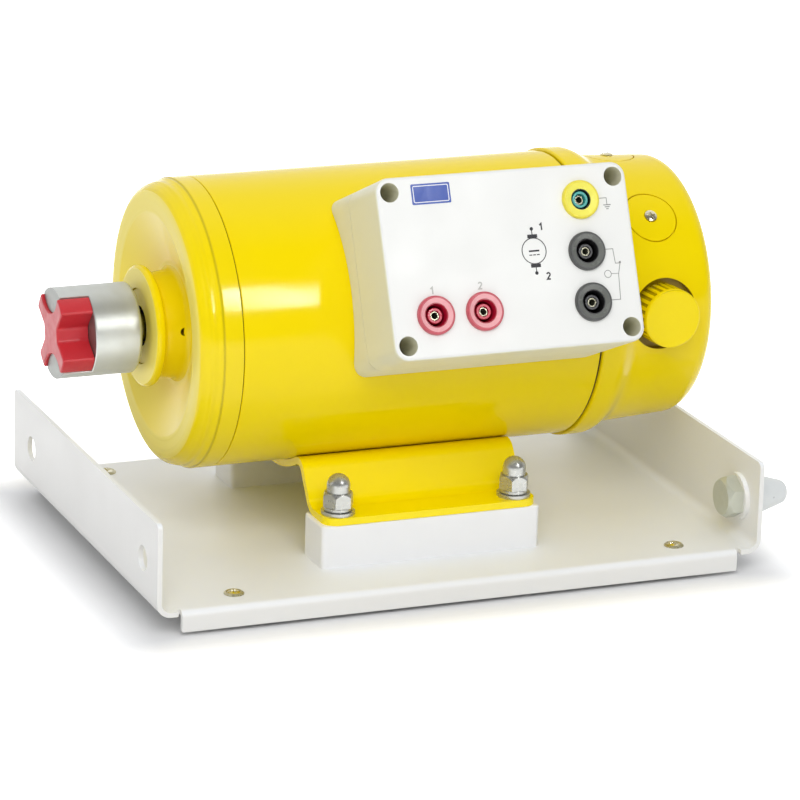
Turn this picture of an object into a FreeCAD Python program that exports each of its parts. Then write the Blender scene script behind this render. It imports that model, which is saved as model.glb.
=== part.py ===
import FreeCAD, Part
import math
import os

# Demonstration electric motor: a permanent-magnet DC motor that lies in a pressed cradle on a
# folded steel tray, with a jaw coupling on its shaft and a terminal box on its shoulder.
# Millimetres. X runs along the motor shaft from the drive end, the panel of the terminal box
# looks towards -Y and up, Z is up from the floor.

Vector = FreeCAD.Vector
AXIS_X = Vector(1, 0, 0)
AXIS_Y = Vector(0, 1, 0)
AXIS_Z = Vector(0, 0, 1)

# ---------------------------------------------------------------- driving dimensions
# Tray
TRAY_LENGTH = 398.0
TRAY_WIDTH = 284.0
TRAY_SHEET = 3.0
TRAY_BEND = 6.0
FLANGE_HEIGHT = 69.0
FLANGE_CORNER = 4.0
LIP_HEIGHT = 13.2
LIP_BEND = 1.5
LIP_INSET = 16.0
LIP_CORNER = 1.0
BEND_RELIEF = 2.5

# Feet under the tray
FOOT_GROUND_GAP = 2.5
FOOT_RADIUS = 10.0
FOOT_SCREW_RADIUS = 2.5
FOOT_SCREW_HEAD = 4.8
FOOT_FROM_LEFT = 56.0
FOOT_FROM_RIGHT = 50.0
FOOT_FROM_SIDE = 21.0

# Docking hardware on the end flanges
DOCK_HEIGHT = 42.0
DOCK_FRONT = 27.0
DOCK_REAR = 247.0
DOCK_HOLE_RADIUS = 8.0
DOCK_BOLT_RADIUS = 7.9
DOCK_HEAD_FLATS = 24.0
DOCK_HEAD_HEIGHT = 10.0
DOCK_WASHER_RADIUS = 15.0
DOCK_WASHER_THICKNESS = 3.0
DOCK_CONE_RADIUS = 15.0
DOCK_CONE_LENGTH = 29.0
DOCK_NOSE_RADIUS = 6.5

# Motor axis and case
AXIS_HEIGHT = 150.5
YOKE_START = 71.2
YOKE_LENGTH = 237.0
YOKE_RADIUS = 90.0
YOKE_WALL = 6.0

# Cradle, riser blocks and their bolts
MOUNT_CENTRE = 194.3
CRADLE_EDGE = 12.0
CRADLE_FLANGE = 22.14
CRADLE_SHEET = 4.5
CRADLE_GAP = 0.3
CRADLE_HALF_ANGLE = 28.0
CRADLE_FLANGE_BEND = 9.7
CRADLE_RIDGE_BEND = 6.25
CRADLE_WEB_ANGLE = 56.0
CRADLE_CORNER = 9.0
RISER_OFFSET = -0.35
RISER_LENGTH = 144.5
RISER_DEPTH = 32.0
RISER_HEIGHT = 27.0
RISER_CORNER = 3.0
RISER_EDGE = 1.5
BOLT_FROM_RISER_END = 13.75
BOLT_FROM_RISER_FRONT = 11.4
BOLT_RADIUS = 5.0
BOLT_HOLE_CLEARANCE = 0.5
BOLT_HEAD_FLATS = 16.0
BOLT_HEAD_HEIGHT = 6.4
WASHER_RADIUS = 10.5
WASHER_THICKNESS = 2.2
LOCK_WASHER_RADIUS = 8.8
LOCK_WASHER_THICKNESS = 2.6
DOME_FLATS = 17.0
DOME_HEX_HEIGHT = 9.0
DOME_RADIUS = 7.2
DOME_TOTAL_HEIGHT = 20.5

# Drive end shield
SHIELD_FACE = 45.5
SHIELD_SHOULDER = 86.5
SHIELD_WALL = 6.0
CREST_OUTER = 79.0
CREST_INNER = 70.0
DISH_DEPTH = 13.5
BOSS_FACE = 35.0
BOSS_RADIUS = 37.5
BOSS_NECK_RADIUS = 31.5
BOSS_RIM_WIDTH = 6.0
VENT_RADIUS = 2.5
VENT_ANGLE = 7.0
SHIELD_SKIRT_START = 60.0
SPIGOT_LENGTH = 6.0
SPIGOT_CLEARANCE = 0.05

# Rear end cover
COVER_LENGTH = 81.0
COVER_BAND_RADIUS = 91.7
COVER_BAND_WIDTH = 14.5
COVER_NECK_WIDTH = 10.0
COVER_NECK_RADIUS = 85.7
COVER_END_RADIUS = 82.5
COVER_CORNER = 11.0
COVER_WALL = 5.5

# Bearings
DRIVE_BEARING_BORE = 10.0
DRIVE_BEARING_OUTER = 23.5
DRIVE_BEARING_WIDTH = 14.0
DRIVE_BEARING_RECESS = 6.0
REAR_BEARING_BORE = 8.5
REAR_BEARING_OUTER = 20.0
REAR_BEARING_WIDTH = 12.0
BALL_COUNT = 7
RACE_CLEARANCE = 0.08

# Rotor
SHAFT_RADIUS = 9.5
ARMATURE_RADIUS = 64.6
ARMATURE_LENGTH = 120.0
ARMATURE_SLOTS = 16
SLOT_WIDTH = 7.0
SLOT_DEPTH = 16.0
WINDING_OVERHANG = 22.0
COMMUTATOR_RADIUS = 32.0
COMMUTATOR_LENGTH = 34.0
COMMUTATOR_SEGMENTS = 16
AIR_GAP = 0.9
MAGNET_SPAN = 68.0
MAGNET_EXTRA_LENGTH = 4.0

# Jaw coupling
HUB_RADIUS = 28.0
HUB_START = -1.0
HUB_LENGTH = 29.8
HUB_CHAMFER = 2.2
JAW_LENGTH = 18.4
JAW_ROUND_RADIUS = 16.5
JAW_ROUND_CENTRE = 29.3
SPIDER_RADIUS = 27.8
SPIDER_LENGTH = 20.0
SPIDER_GAP = 0.3
SPIDER_LEG_ROUND = 1.2
SPIDER_EDGE_ROUND = 0.8
COUPLING_TURN = 9.0
KEY_WIDTH = 6.0
KEY_DEPTH = 3.5
KEY_LENGTH = 20.0
SET_SCREW_RADIUS = 3.0

# Brush stations on the rear end cover
STATION_FROM_SEAM = 43.5
STATION_ANGLE = 3.3
STATION_POCKET_RADIUS = 22.5
STATION_FLOOR = 77.0
STATION_WALL = 3.5
HOLDER_RADIUS = 14.0
HOLDER_INNER_END = 36.0
BRUSH_WIDTH = 16.0
BRUSH_THICKNESS = 9.0
BRUSH_LENGTH = 24.0
BRUSH_CLEARANCE = 0.1
BRUSH_GAP = 0.3
BRUSH_TRAVEL = 6.0
SPRING_RADIUS = 3.2
SPRING_WIRE = 1.0
SPRING_TURNS = 4
SPRING_FACETS = 10
SPRING_SEAT_GAP = 0.3
CAP_RADIUS = 18.6
CAP_TOP = 97.5
CAP_SPIGOT_RADIUS = 10.0
CAP_SPIGOT_LENGTH = 6.0
CAP_RIBS = 26
CAP_RIB_DEPTH = 1.3
CAP_SEAT_GAP = 0.3
COVER_PLATE_THICKNESS = 3.0
COVER_PLATE_GAP = 0.8
COVER_PLATE_RADIUS = 17.0
PLATE_SCREW_RADIUS = 3.9
UPPER_PLATE_ANGLE = 46.5
TOP_PLATE_ANGLE = 97.0

# Through bolts
THROUGH_BOLT_CIRCLE = 69.0
THROUGH_BOLT_RADIUS = 3.0
THROUGH_BOLT_HEAD = 5.0
THROUGH_BOLT_HEAD_HEIGHT = 3.2
THROUGH_BOLT_KEY_DEPTH = 2.0
THROUGH_BOLT_SUNK = 3.4
THROUGH_BOLT_BOSS = 7.5

# Terminal box
BOX_TILT = 23.5
BOX_CENTRE_FROM_SEAM = 152.2
BOX_CENTRE_UP = 4.1
BOX_WIDTH = 162.5
BOX_HEIGHT = 110.0
PANEL_DISTANCE = 150.0
PARTING_ABOVE_TUBE = 14.0
LID_WALL = 3.0
BOX_FOOT_DISTANCE = 70.0
BOX_CORNER = 9.0
BOX_EDGE = 2.0
BOX_SEAT_GAP = 0.3
GASKET_THICKNESS = 0.8
BOX_SCREW_SPACING_X = 145.4
BOX_SCREW_SPACING_Y = 92.0
BOX_SCREW_WELL = 5.9
BOX_SCREW_WELL_FLOOR = 8.0
BOX_SCREW_POST = 7.8
BOX_SCREW_RADIUS = 2.0
BOX_SCREW_PILOT = 14.0
BOX_SCREW_REACH = 12.0
BOX_SCREW_HEAD_HEIGHT = 2.4
BOX_SCREW_HEAD = 4.0
SCREW_CLEARANCE = 0.3
BOX_FIXING_RADIUS = 2.5
BOX_FIXING_HEAD = 4.6
BOX_FIXING_HEAD_HEIGHT = 3.0
BOX_FIXING_TIP = 0.5
BOX_FIXING_SPACING = 90.0
CABLE_HOLE_RADIUS = 9.0

# Safety sockets
SOCKET_COLLAR_RADIUS = 11.2
SOCKET_COLLAR_HEIGHT = 2.6
SOCKET_CAVITY_RADIUS = 6.1
SOCKET_BODY_RADIUS = 8.0
SOCKET_DEPTH = 28.0
SOCKET_POST_RADIUS = 3.8
SOCKET_CONTACT_RADIUS = 2.6
SOCKET_BORE_RADIUS = 2.05
SOCKET_CONTACT_LENGTH = 34.0
SOCKET_CONTACT_SINK = 1.6
SOCKET_BORE_FLOOR = 12.0
SOCKET_NUT_FLATS = 20.0
SOCKET_NUT_THICKNESS = 4.0
SOCKET_PITCH = 31.0
RED_SOCKET_LEFT = 53.2
RED_SOCKET_UP = 29.2
RIGHT_SOCKET_RIGHT = 49.2
EARTH_SOCKET_UP = 33.2
BLACK_SOCKET_UP = 1.8

# Thermal switch
THERMAL_RADIUS = 5.0
THERMAL_LENGTH = 16.0
THERMAL_SINK = 1.65

# ---------------------------------------------------------------- derived places
AXIS_ACROSS = TRAY_WIDTH / 2
LIP_BOTTOM = FOOT_GROUND_GAP
PLATE_TOP = LIP_BOTTOM + LIP_HEIGHT
PLATE_BOTTOM = PLATE_TOP - TRAY_SHEET
FLANGE_TOP = LIP_BOTTOM + FLANGE_HEIGHT
YOKE_END = YOKE_START + YOKE_LENGTH
CRADLE_MIDDLE = YOKE_RADIUS + CRADLE_GAP + CRADLE_SHEET / 2
LID_BOTTOM = YOKE_RADIUS + PARTING_ABOVE_TUBE
LID_DEPTH = PANEL_DISTANCE - LID_BOTTOM
WELL_FLOOR = LID_BOTTOM + BOX_SCREW_WELL_FLOOR
BOLT_SPACING = RISER_LENGTH - 2 * BOLT_FROM_RISER_END
CRADLE_LENGTH = BOLT_SPACING + 2 * CRADLE_EDGE
RISER_START = MOUNT_CENTRE + RISER_OFFSET - RISER_LENGTH / 2
YOKE_BORE = YOKE_RADIUS - YOKE_WALL
STATION_X = YOKE_END + STATION_FROM_SEAM
COVER_FACE = YOKE_END + COVER_LENGTH
BOX_CENTRE_X = YOKE_START + BOX_CENTRE_FROM_SEAM
ARMATURE_CENTRE = YOKE_START + YOKE_LENGTH / 2 + 5.0
DRIVE_BEARING_START = BOSS_FACE + DRIVE_BEARING_RECESS
REAR_BEARING_START = COVER_FACE - COVER_WALL - REAR_BEARING_WIDTH
HUB_END = HUB_START + HUB_LENGTH
CUT_REACH = 2 * YOKE_WALL + PANEL_DISTANCE - YOKE_RADIUS
PLATES = {"upper": UPPER_PLATE_ANGLE, "top": TOP_PLATE_ANGLE}
STATIONS = {"front": STATION_ANGLE, "rear": STATION_ANGLE + 180}

# Where the cradle's sheet runs, from the edge of its saddle out to the risers.
half_saddle = math.radians(CRADLE_HALF_ANGLE)
web_slope = math.radians(CRADLE_WEB_ANGLE)
flange_bend = CRADLE_FLANGE_BEND + CRADLE_SHEET / 2
ridge_bend = CRADLE_RIDGE_BEND + CRADLE_SHEET / 2
cradle_seat = PLATE_TOP + RISER_HEIGHT
web_rise = (AXIS_HEIGHT - CRADLE_MIDDLE * math.cos(half_saddle) - cradle_seat - CRADLE_SHEET / 2
            - flange_bend * (1 - math.cos(web_slope))
            - ridge_bend * (math.cos(half_saddle) - math.cos(web_slope)))
WEB_LENGTH = web_rise / math.sin(web_slope)
web_run = (flange_bend * math.sin(web_slope) + WEB_LENGTH * math.cos(web_slope)
           + ridge_bend * (math.sin(web_slope) + math.sin(half_saddle)))
RISER_FRONT = (AXIS_ACROSS - CRADLE_MIDDLE * math.sin(half_saddle) - web_run
               - CRADLE_FLANGE)
BOLT_FRONT_Y = RISER_FRONT + BOLT_FROM_RISER_FRONT

# The frame's origin is the middle of the whole outline on the floor.
tilt = math.radians(BOX_TILT)
panel_low = BOX_CENTRE_UP - BOX_HEIGHT / 2
FRONT_MOST = AXIS_ACROSS - PANEL_DISTANCE * math.cos(tilt) + panel_low * math.sin(tilt)
SPIDER_START = HUB_START - SPIDER_GAP - SPIDER_LENGTH
RIGHT_MOST = TRAY_LENGTH + DOCK_CONE_LENGTH
ORIGIN = Vector((SPIDER_START + RIGHT_MOST) / 2, (FRONT_MOST + TRAY_WIDTH) / 2, 0)


# ---------------------------------------------------------------- shape helpers
def box(low, high):
    """A block between two corners."""
    size = high - low
    return Part.makeBox(size.x, size.y, size.z, low)


def rod(start, direction, radius, length):
    """A cylinder from start along direction."""
    return Part.makeCylinder(radius, length, start, direction)


def hexagon_prism(start, direction, flats, height):
    """A hexagonal prism of the given width across flats."""
    corners = []
    for number in range(7):
        angle = math.radians(60 * number)
        corners.append(Vector(math.cos(angle), math.sin(angle), 0) * (flats / math.sqrt(3)))
    prism = Part.Face(Part.makePolygon(corners)).extrude(AXIS_Z * height)
    prism.Placement = FreeCAD.Placement(start, FreeCAD.Rotation(AXIS_Z, direction))
    return prism


def rounded_outline(points):
    """A closed wire through (x, z, corner radius) points in the XZ plane."""
    edges = []
    ends = []
    count = len(points)
    for index, (x, z, radius) in enumerate(points):
        here = Vector(x, 0, z)
        before = Vector(points[index - 1][0], 0, points[index - 1][1])
        after = Vector(points[(index + 1) % count][0], 0, points[(index + 1) % count][1])
        if radius == 0:
            ends.append((here, here, None))
            continue
        back = (before - here).normalize()
        ahead = (after - here).normalize()
        half = back.getAngle(ahead) / 2
        reach = radius / math.tan(half)
        middle = here + (back + ahead).normalize() * (radius / math.sin(half) - radius)
        ends.append((here + back * reach, here + ahead * reach, middle))
    for index, (enter, leave, middle) in enumerate(ends):
        if middle:
            edges.append(Part.Arc(enter, middle, leave).toShape())
        start_next = ends[(index + 1) % count][0]
        if leave.distanceToPoint(start_next) > 1e-6:
            edges.append(Part.LineSegment(leave, start_next).toShape())
    return Part.Wire(Part.__sortEdges__(edges))


def turned(points):
    """A solid turned about the motor axis from an (x, radius, corner radius) outline."""
    return Part.Face(rounded_outline(points)).revolve(Vector(0, 0, 0), AXIS_X, 360)


def ring(start, length, outer, inner):
    """A plain ring about the motor axis."""
    return turned([(start, inner, 0), (start, outer, 0), (start + length, outer, 0),
                   (start + length, inner, 0)])


def rounded_block(low, high, corner):
    """A block whose edges along Z are rounded."""
    block = box(low, high)
    upright = [edge for edge in block.Edges if abs(edge.tangentAt(0).z) > 0.99]
    return block.makeFillet(corner, upright)


def walked_sheet(start, heading, steps, thickness):
    """A folded sheet's section in the YZ plane, as a face.

    The middle line starts at start (y, z) with a heading in degrees. A step is a straight
    length, or a (radius, turn in degrees) bend that is positive to the left.
    """
    sides = {1: [], -1: []}
    caps = []
    y, z = start
    angle = math.radians(heading)
    for step in steps + [None]:
        normal = Vector(0, -math.sin(angle), math.cos(angle))
        here = Vector(0, y, z)
        caps.append((here + normal * thickness / 2, here - normal * thickness / 2))
        if step is None:
            break
        if not isinstance(step, tuple):
            ahead = here + Vector(0, math.cos(angle), math.sin(angle)) * step
            for side in sides:
                shift = normal * (side * thickness / 2)
                sides[side].append(Part.LineSegment(here + shift, ahead + shift).toShape())
        else:
            radius, turn = step
            bend = math.copysign(radius, turn)
            centre = here + normal * bend
            middle_angle = angle + math.radians(turn) / 2
            angle += math.radians(turn)
            middle = Vector(0, -math.sin(middle_angle), math.cos(middle_angle))
            last = Vector(0, -math.sin(angle), math.cos(angle))
            ahead = centre - last * bend
            for side in sides:
                reach = bend - side * thickness / 2
                arc = Part.Arc(centre - normal * reach, centre - middle * reach,
                               centre - last * reach)
                sides[side].append(arc.toShape())
        y, z = ahead.y, ahead.z
    edges = sides[1] + sides[-1]
    for left, right in (caps[0], caps[-1]):
        edges.append(Part.LineSegment(left, right).toShape())
    return Part.Face(Part.Wire(Part.__sortEdges__(edges)))


def on_motor(shape):
    """Move a shape from the motor's own axis to its place over the tray."""
    moved = shape.copy()
    moved.translate(Vector(0, AXIS_ACROSS, AXIS_HEIGHT))
    return moved


def at_station(shape, along, angle):
    """Stand a shape that points up Z on the motor at a place along it.

    The angle is measured up from the front.
    """
    moved = shape.copy()
    moved.rotate(Vector(0, 0, 0), AXIS_X, 90 - angle)
    moved.translate(Vector(along, 0, 0))
    return moved


def on_panel(shape):
    """Move a shape from panel directions (X along, Y up the panel, Z out) to its place."""
    return on_motor(at_station(shape, BOX_CENTRE_X, BOX_TILT))


def joined(shapes):
    """One solid from touching shapes."""
    first = shapes[0]
    return first.fuse(shapes[1:]).removeSplitter()


def save(name, *solids):
    """Write a node, with the frame's origin at the middle of the outline on the floor."""
    shape = solids[0] if len(solids) == 1 else Part.makeCompound(list(solids))
    shape = shape.copy()
    shape.translate(ORIGIN * -1)
    if not shape.isValid():
        print("not valid:", name)
    shape.exportStep("parts/" + name + ".step")


# ---------------------------------------------------------------- tray and feet
def base_tray():
    """Folded sheet: a plate with two upturned ends and a down-turned lip along each side."""
    outer_bend = TRAY_BEND + TRAY_SHEET
    section = rounded_outline([
        (0, FLANGE_TOP, 0), (0, PLATE_BOTTOM, outer_bend),
        (TRAY_LENGTH, PLATE_BOTTOM, outer_bend), (TRAY_LENGTH, FLANGE_TOP, 0),
        (TRAY_LENGTH - TRAY_SHEET, FLANGE_TOP, 0),
        (TRAY_LENGTH - TRAY_SHEET, PLATE_TOP, TRAY_BEND),
        (TRAY_SHEET, PLATE_TOP, TRAY_BEND), (TRAY_SHEET, FLANGE_TOP, 0)])
    tray = Part.Face(section).extrude(AXIS_Y * TRAY_WIDTH)
    top_edges = []
    for edge in tray.Edges:
        centre = edge.CenterOfMass
        at_top = abs(centre.z - FLANGE_TOP) < 0.01
        at_side = min(centre.y, TRAY_WIDTH - centre.y) < 0.01
        if at_top and at_side:
            top_edges.append(edge)
    tray = tray.makeFillet(FLANGE_CORNER, top_edges)

    lip_outer_bend = LIP_BEND + TRAY_SHEET
    strip = box(Vector(LIP_INSET - BEND_RELIEF, -1, PLATE_BOTTOM - 1),
                Vector(TRAY_LENGTH - LIP_INSET + BEND_RELIEF, lip_outer_bend, PLATE_TOP + 1))
    lip_length = TRAY_LENGTH - 2 * LIP_INSET
    start = (lip_outer_bend, PLATE_TOP - TRAY_SHEET / 2)
    drop = LIP_HEIGHT - lip_outer_bend
    bend = (LIP_BEND + TRAY_SHEET / 2, 90)
    lip = walked_sheet(start, 180, [bend, drop], TRAY_SHEET).extrude(AXIS_X * lip_length)
    low_edges = []
    for edge in lip.Edges:
        centre = edge.CenterOfMass
        at_end = min(centre.x, lip_length - centre.x) < 0.01
        if at_end and abs(centre.z - LIP_BOTTOM) < 0.01:
            low_edges.append(edge)
    lip = lip.makeFillet(LIP_CORNER, low_edges)
    lip.translate(Vector(LIP_INSET, 0, 0))
    middle = Vector(TRAY_LENGTH / 2, TRAY_WIDTH / 2, 0)
    for part in (strip, lip):
        other = part.mirror(middle, AXIS_Y)
        if part is strip:
            tray = tray.cut([part, other])
        else:
            tray = joined([tray, part, other])

    holes = []
    for across in (DOCK_FRONT, DOCK_REAR):
        centre = Vector(-1, across, DOCK_HEIGHT)
        holes.append(rod(centre, AXIS_X, DOCK_HOLE_RADIUS, TRAY_LENGTH + 2))
    for x, y in foot_places():
        centre = Vector(x, y, PLATE_BOTTOM - 1)
        holes.append(rod(centre, AXIS_Z, FOOT_SCREW_RADIUS + BOLT_HOLE_CLEARANCE, TRAY_SHEET + 2))
    for x, y in bolt_places():
        centre = Vector(x, y, PLATE_BOTTOM - 1)
        holes.append(rod(centre, AXIS_Z, BOLT_RADIUS + BOLT_HOLE_CLEARANCE, TRAY_SHEET + 2))
    return tray.cut(holes)


def foot_places():
    """Centres of the four feet."""
    return [(x, y) for x in (FOOT_FROM_LEFT, TRAY_LENGTH - FOOT_FROM_RIGHT)
            for y in (FOOT_FROM_SIDE, TRAY_WIDTH - FOOT_FROM_SIDE)]


def bolt_places():
    """Centres of the four cradle bolts."""
    return [(x, y) for x in (MOUNT_CENTRE - BOLT_SPACING / 2, MOUNT_CENTRE + BOLT_SPACING / 2)
            for y in (BOLT_FRONT_Y, TRAY_WIDTH - BOLT_FRONT_Y)]


def rubber_feet():
    """Turned rubber feet, a little wider at the top, with a hole for the screw."""
    feet = []
    for x, y in foot_places():
        foot = Part.makeCone(FOOT_RADIUS - 1.5, FOOT_RADIUS, PLATE_BOTTOM, Vector(x, y, 0))
        hole = rod(Vector(x, y, FOOT_GROUND_GAP), AXIS_Z, FOOT_SCREW_RADIUS, PLATE_BOTTOM)
        feet.append(foot.cut(hole))
    return feet


def foot_screws():
    """Pan-head screws from above the plate into the feet."""
    screws = []
    for x, y in foot_places():
        shank = rod(Vector(x, y, FOOT_GROUND_GAP), AXIS_Z, FOOT_SCREW_RADIUS,
                    PLATE_TOP - FOOT_GROUND_GAP)
        head = Part.makeCone(FOOT_SCREW_HEAD, FOOT_SCREW_HEAD - 1.5, 1.6, Vector(x, y, PLATE_TOP))
        screws.append(joined([shank, head]))
    return screws


# ---------------------------------------------------------------- docking hardware
def docking_parts():
    """A hexagon bolt and washer inside the right flange, and a round-nosed cone outside it."""
    bolts = []
    washers = []
    cones = []
    inner_face = TRAY_LENGTH - TRAY_SHEET
    for across in (DOCK_FRONT, DOCK_REAR):
        seat = Vector(inner_face, across, DOCK_HEIGHT)
        washer = rod(seat, AXIS_X * -1, DOCK_WASHER_RADIUS, DOCK_WASHER_THICKNESS)
        washers.append(washer.cut(rod(seat, AXIS_X * -1, DOCK_BOLT_RADIUS, DOCK_WASHER_THICKNESS)))
        head_seat = seat - AXIS_X * DOCK_WASHER_THICKNESS
        head = hexagon_prism(head_seat, AXIS_X * -1, DOCK_HEAD_FLATS, DOCK_HEAD_HEIGHT)
        crown = Part.makeCone(DOCK_HEAD_FLATS / 2 + 6, DOCK_HEAD_FLATS / 2 - 1,
                              DOCK_HEAD_HEIGHT, head_seat, AXIS_X * -1)
        head = head.common(crown)
        shank_length = DOCK_WASHER_THICKNESS + TRAY_SHEET + DOCK_CONE_LENGTH / 2
        shank = rod(head_seat, AXIS_X, DOCK_BOLT_RADIUS, shank_length)
        bolts.append(joined([head, shank]))
        nose = DOCK_NOSE_RADIUS
        cone = turned([(0, DOCK_BOLT_RADIUS, 0), (0, DOCK_CONE_RADIUS, 1.0),
                       (DOCK_CONE_LENGTH, nose, nose * 0.9), (DOCK_CONE_LENGTH, 0, 0),
                       (DOCK_CONE_LENGTH / 2, 0, 0), (DOCK_CONE_LENGTH / 2, DOCK_BOLT_RADIUS, 0)])
        cone.translate(Vector(TRAY_LENGTH, across, DOCK_HEIGHT))
        cones.append(cone)
    return bolts, washers, cones


# ---------------------------------------------------------------- cradle and risers
def riser(front):
    """A spacer block with rounded corners and two bolt holes."""
    low = Vector(RISER_START, front, PLATE_TOP)
    block = rounded_block(low, low + Vector(RISER_LENGTH, RISER_DEPTH, RISER_HEIGHT), RISER_CORNER)
    top_edges = [edge for edge in block.Edges
                 if abs(edge.BoundBox.ZMin - PLATE_TOP - RISER_HEIGHT) < 0.01]
    block = block.makeFillet(RISER_EDGE, top_edges)
    holes = []
    for x, y in bolt_places():
        if front < y < front + RISER_DEPTH:
            holes.append(rod(Vector(x, y, PLATE_TOP - 1), AXIS_Z,
                             BOLT_RADIUS + BOLT_HOLE_CLEARANCE, RISER_HEIGHT + 2))
    return block.cut(holes)


def motor_cradle():
    """Pressed steel: flat flanges, sloping webs and a saddle that follows the motor."""
    flange_z = cradle_seat + CRADLE_SHEET / 2
    steps = [CRADLE_FLANGE, (flange_bend, CRADLE_WEB_ANGLE), WEB_LENGTH,
             (ridge_bend, -CRADLE_WEB_ANGLE - CRADLE_HALF_ANGLE),
             (CRADLE_MIDDLE, 2 * CRADLE_HALF_ANGLE),
             (ridge_bend, -CRADLE_WEB_ANGLE - CRADLE_HALF_ANGLE), WEB_LENGTH,
             (flange_bend, CRADLE_WEB_ANGLE), CRADLE_FLANGE]
    section = walked_sheet((RISER_FRONT, flange_z), 0, steps, CRADLE_SHEET)
    cradle = section.extrude(AXIS_X * CRADLE_LENGTH)
    cradle.translate(Vector(MOUNT_CENTRE - CRADLE_LENGTH / 2, 0, 0))
    corners = []
    for edge in cradle.Edges:
        centre = edge.CenterOfMass
        at_end = min(centre.y - RISER_FRONT, TRAY_WIDTH - RISER_FRONT - centre.y) < 0.01
        if at_end and abs(edge.Length - CRADLE_SHEET) < 0.01:
            corners.append(edge)
    cradle = cradle.makeFillet(CRADLE_CORNER, corners)
    holes = [rod(Vector(x, y, cradle_seat - 1), AXIS_Z, BOLT_RADIUS + BOLT_HOLE_CLEARANCE,
                 CRADLE_SHEET + 2) for x, y in bolt_places()]
    return cradle.cut(holes)


def cradle_fasteners():
    """Bolts from under the tray, and a washer, a lock washer and a dome nut on each."""
    bolts = []
    washers = []
    lock_washers = []
    nuts = []
    seat = cradle_seat + CRADLE_SHEET
    nut_seat = seat + WASHER_THICKNESS + LOCK_WASHER_THICKNESS
    for x, y in bolt_places():
        under = Vector(x, y, PLATE_BOTTOM)
        head = hexagon_prism(under, AXIS_Z * -1, BOLT_HEAD_FLATS, BOLT_HEAD_HEIGHT)
        shank_length = nut_seat + DOME_HEX_HEIGHT - PLATE_BOTTOM
        bolts.append(joined([head, rod(under, AXIS_Z, BOLT_RADIUS, shank_length)]))
        place = Vector(x, y, seat)
        hole = rod(place, AXIS_Z, BOLT_RADIUS, DOME_TOTAL_HEIGHT)
        washers.append(rod(place, AXIS_Z, WASHER_RADIUS, WASHER_THICKNESS).cut(hole))
        place = Vector(x, y, seat + WASHER_THICKNESS)
        lock_washers.append(rod(place, AXIS_Z, LOCK_WASHER_RADIUS, LOCK_WASHER_THICKNESS).cut(hole))
        nuts.append(dome_nut(Vector(x, y, nut_seat)))
    return bolts, washers, lock_washers, nuts


def dome_nut(seat):
    """A hexagon with chamfered corners under a round dome, blind from below."""
    hexagon = hexagon_prism(seat, AXIS_Z, DOME_FLATS, DOME_HEX_HEIGHT)
    crown = Part.makeCone(DOME_FLATS / 2 + 5, DOME_FLATS / 2 - 0.5, DOME_HEX_HEIGHT + 0.8, seat)
    hexagon = hexagon.common(crown)
    barrel_length = DOME_TOTAL_HEIGHT - DOME_HEX_HEIGHT - DOME_RADIUS
    barrel_seat = seat + AXIS_Z * DOME_HEX_HEIGHT
    barrel = rod(barrel_seat, AXIS_Z, DOME_RADIUS, barrel_length)
    ball = Part.makeSphere(DOME_RADIUS, barrel_seat + AXIS_Z * barrel_length)
    hole = rod(seat, AXIS_Z, BOLT_RADIUS, DOME_HEX_HEIGHT)
    return joined([hexagon, barrel, ball]).cut(hole)


# ---------------------------------------------------------------- motor case
def drive_end_shield():
    """Dished end shield: round shoulder, dish, and a raised bearing boss with a rolled rim."""
    dish = SHIELD_FACE + DISH_DEPTH
    bearing_end = DRIVE_BEARING_START + DRIVE_BEARING_WIDTH
    neck_bore = DRIVE_BEARING_OUTER
    spigot = YOKE_BORE - SPIGOT_CLEARANCE
    shield = turned([
        (YOKE_START, YOKE_RADIUS, 0), (SHIELD_SKIRT_START, YOKE_RADIUS, 1.5),
        (SHIELD_SKIRT_START - 3, SHIELD_SHOULDER + 2, 1.5),
        (SHIELD_FACE, SHIELD_SHOULDER - 1, 7.5), (SHIELD_FACE, CREST_INNER, 6.0),
        (dish, BOSS_NECK_RADIUS + 3, 4.0), (BOSS_FACE + BOSS_RIM_WIDTH, BOSS_NECK_RADIUS, 2.0),
        (BOSS_FACE + BOSS_RIM_WIDTH, BOSS_RADIUS, 2.5), (BOSS_FACE, BOSS_RADIUS, 2.5),
        (BOSS_FACE, neck_bore, 0), (bearing_end, neck_bore, 0),
        (bearing_end, neck_bore - 4, 0), (bearing_end + SHIELD_WALL, neck_bore - 4, 0),
        (dish + SHIELD_WALL, BOSS_NECK_RADIUS + 6, 3.0),
        (SHIELD_FACE + SHIELD_WALL, CREST_INNER + 2, 3.0),
        (SHIELD_FACE + SHIELD_WALL, SHIELD_SHOULDER - 1 - SHIELD_WALL, 3.0),
        (YOKE_START, spigot - SHIELD_WALL, 0),
        (YOKE_START + SPIGOT_LENGTH, spigot - SHIELD_WALL, 0),
        (YOKE_START + SPIGOT_LENGTH, spigot, 0), (YOKE_START, spigot, 0)])
    bosses = []
    holes = []
    boss_start = SHIELD_FACE + SHIELD_WALL - 2
    boss_end = YOKE_START + SPIGOT_LENGTH
    for place in through_bolt_places():
        bosses.append(rod(place + AXIS_X * boss_start, AXIS_X, THROUGH_BOLT_BOSS,
                          boss_end - boss_start))
        holes.append(rod(place + AXIS_X * through_bolt_tip(), AXIS_X, THROUGH_BOLT_RADIUS,
                         boss_end - through_bolt_tip()))
    vent = at_station(rod(Vector(0, 0, 0), AXIS_Z, VENT_RADIUS, BOSS_NECK_RADIUS + 2),
                      SHIELD_FACE + 8, VENT_ANGLE)
    shield = joined([shield] + bosses).cut(holes + [vent])
    return on_motor(shield)


def through_bolt_places():
    """Points on the bolt circle, between the magnets."""
    places = []
    for number in range(4):
        angle = math.radians(45 + 90 * number)
        places.append(Vector(0, math.cos(angle), math.sin(angle)) * THROUGH_BOLT_CIRCLE)
    return places


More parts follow.
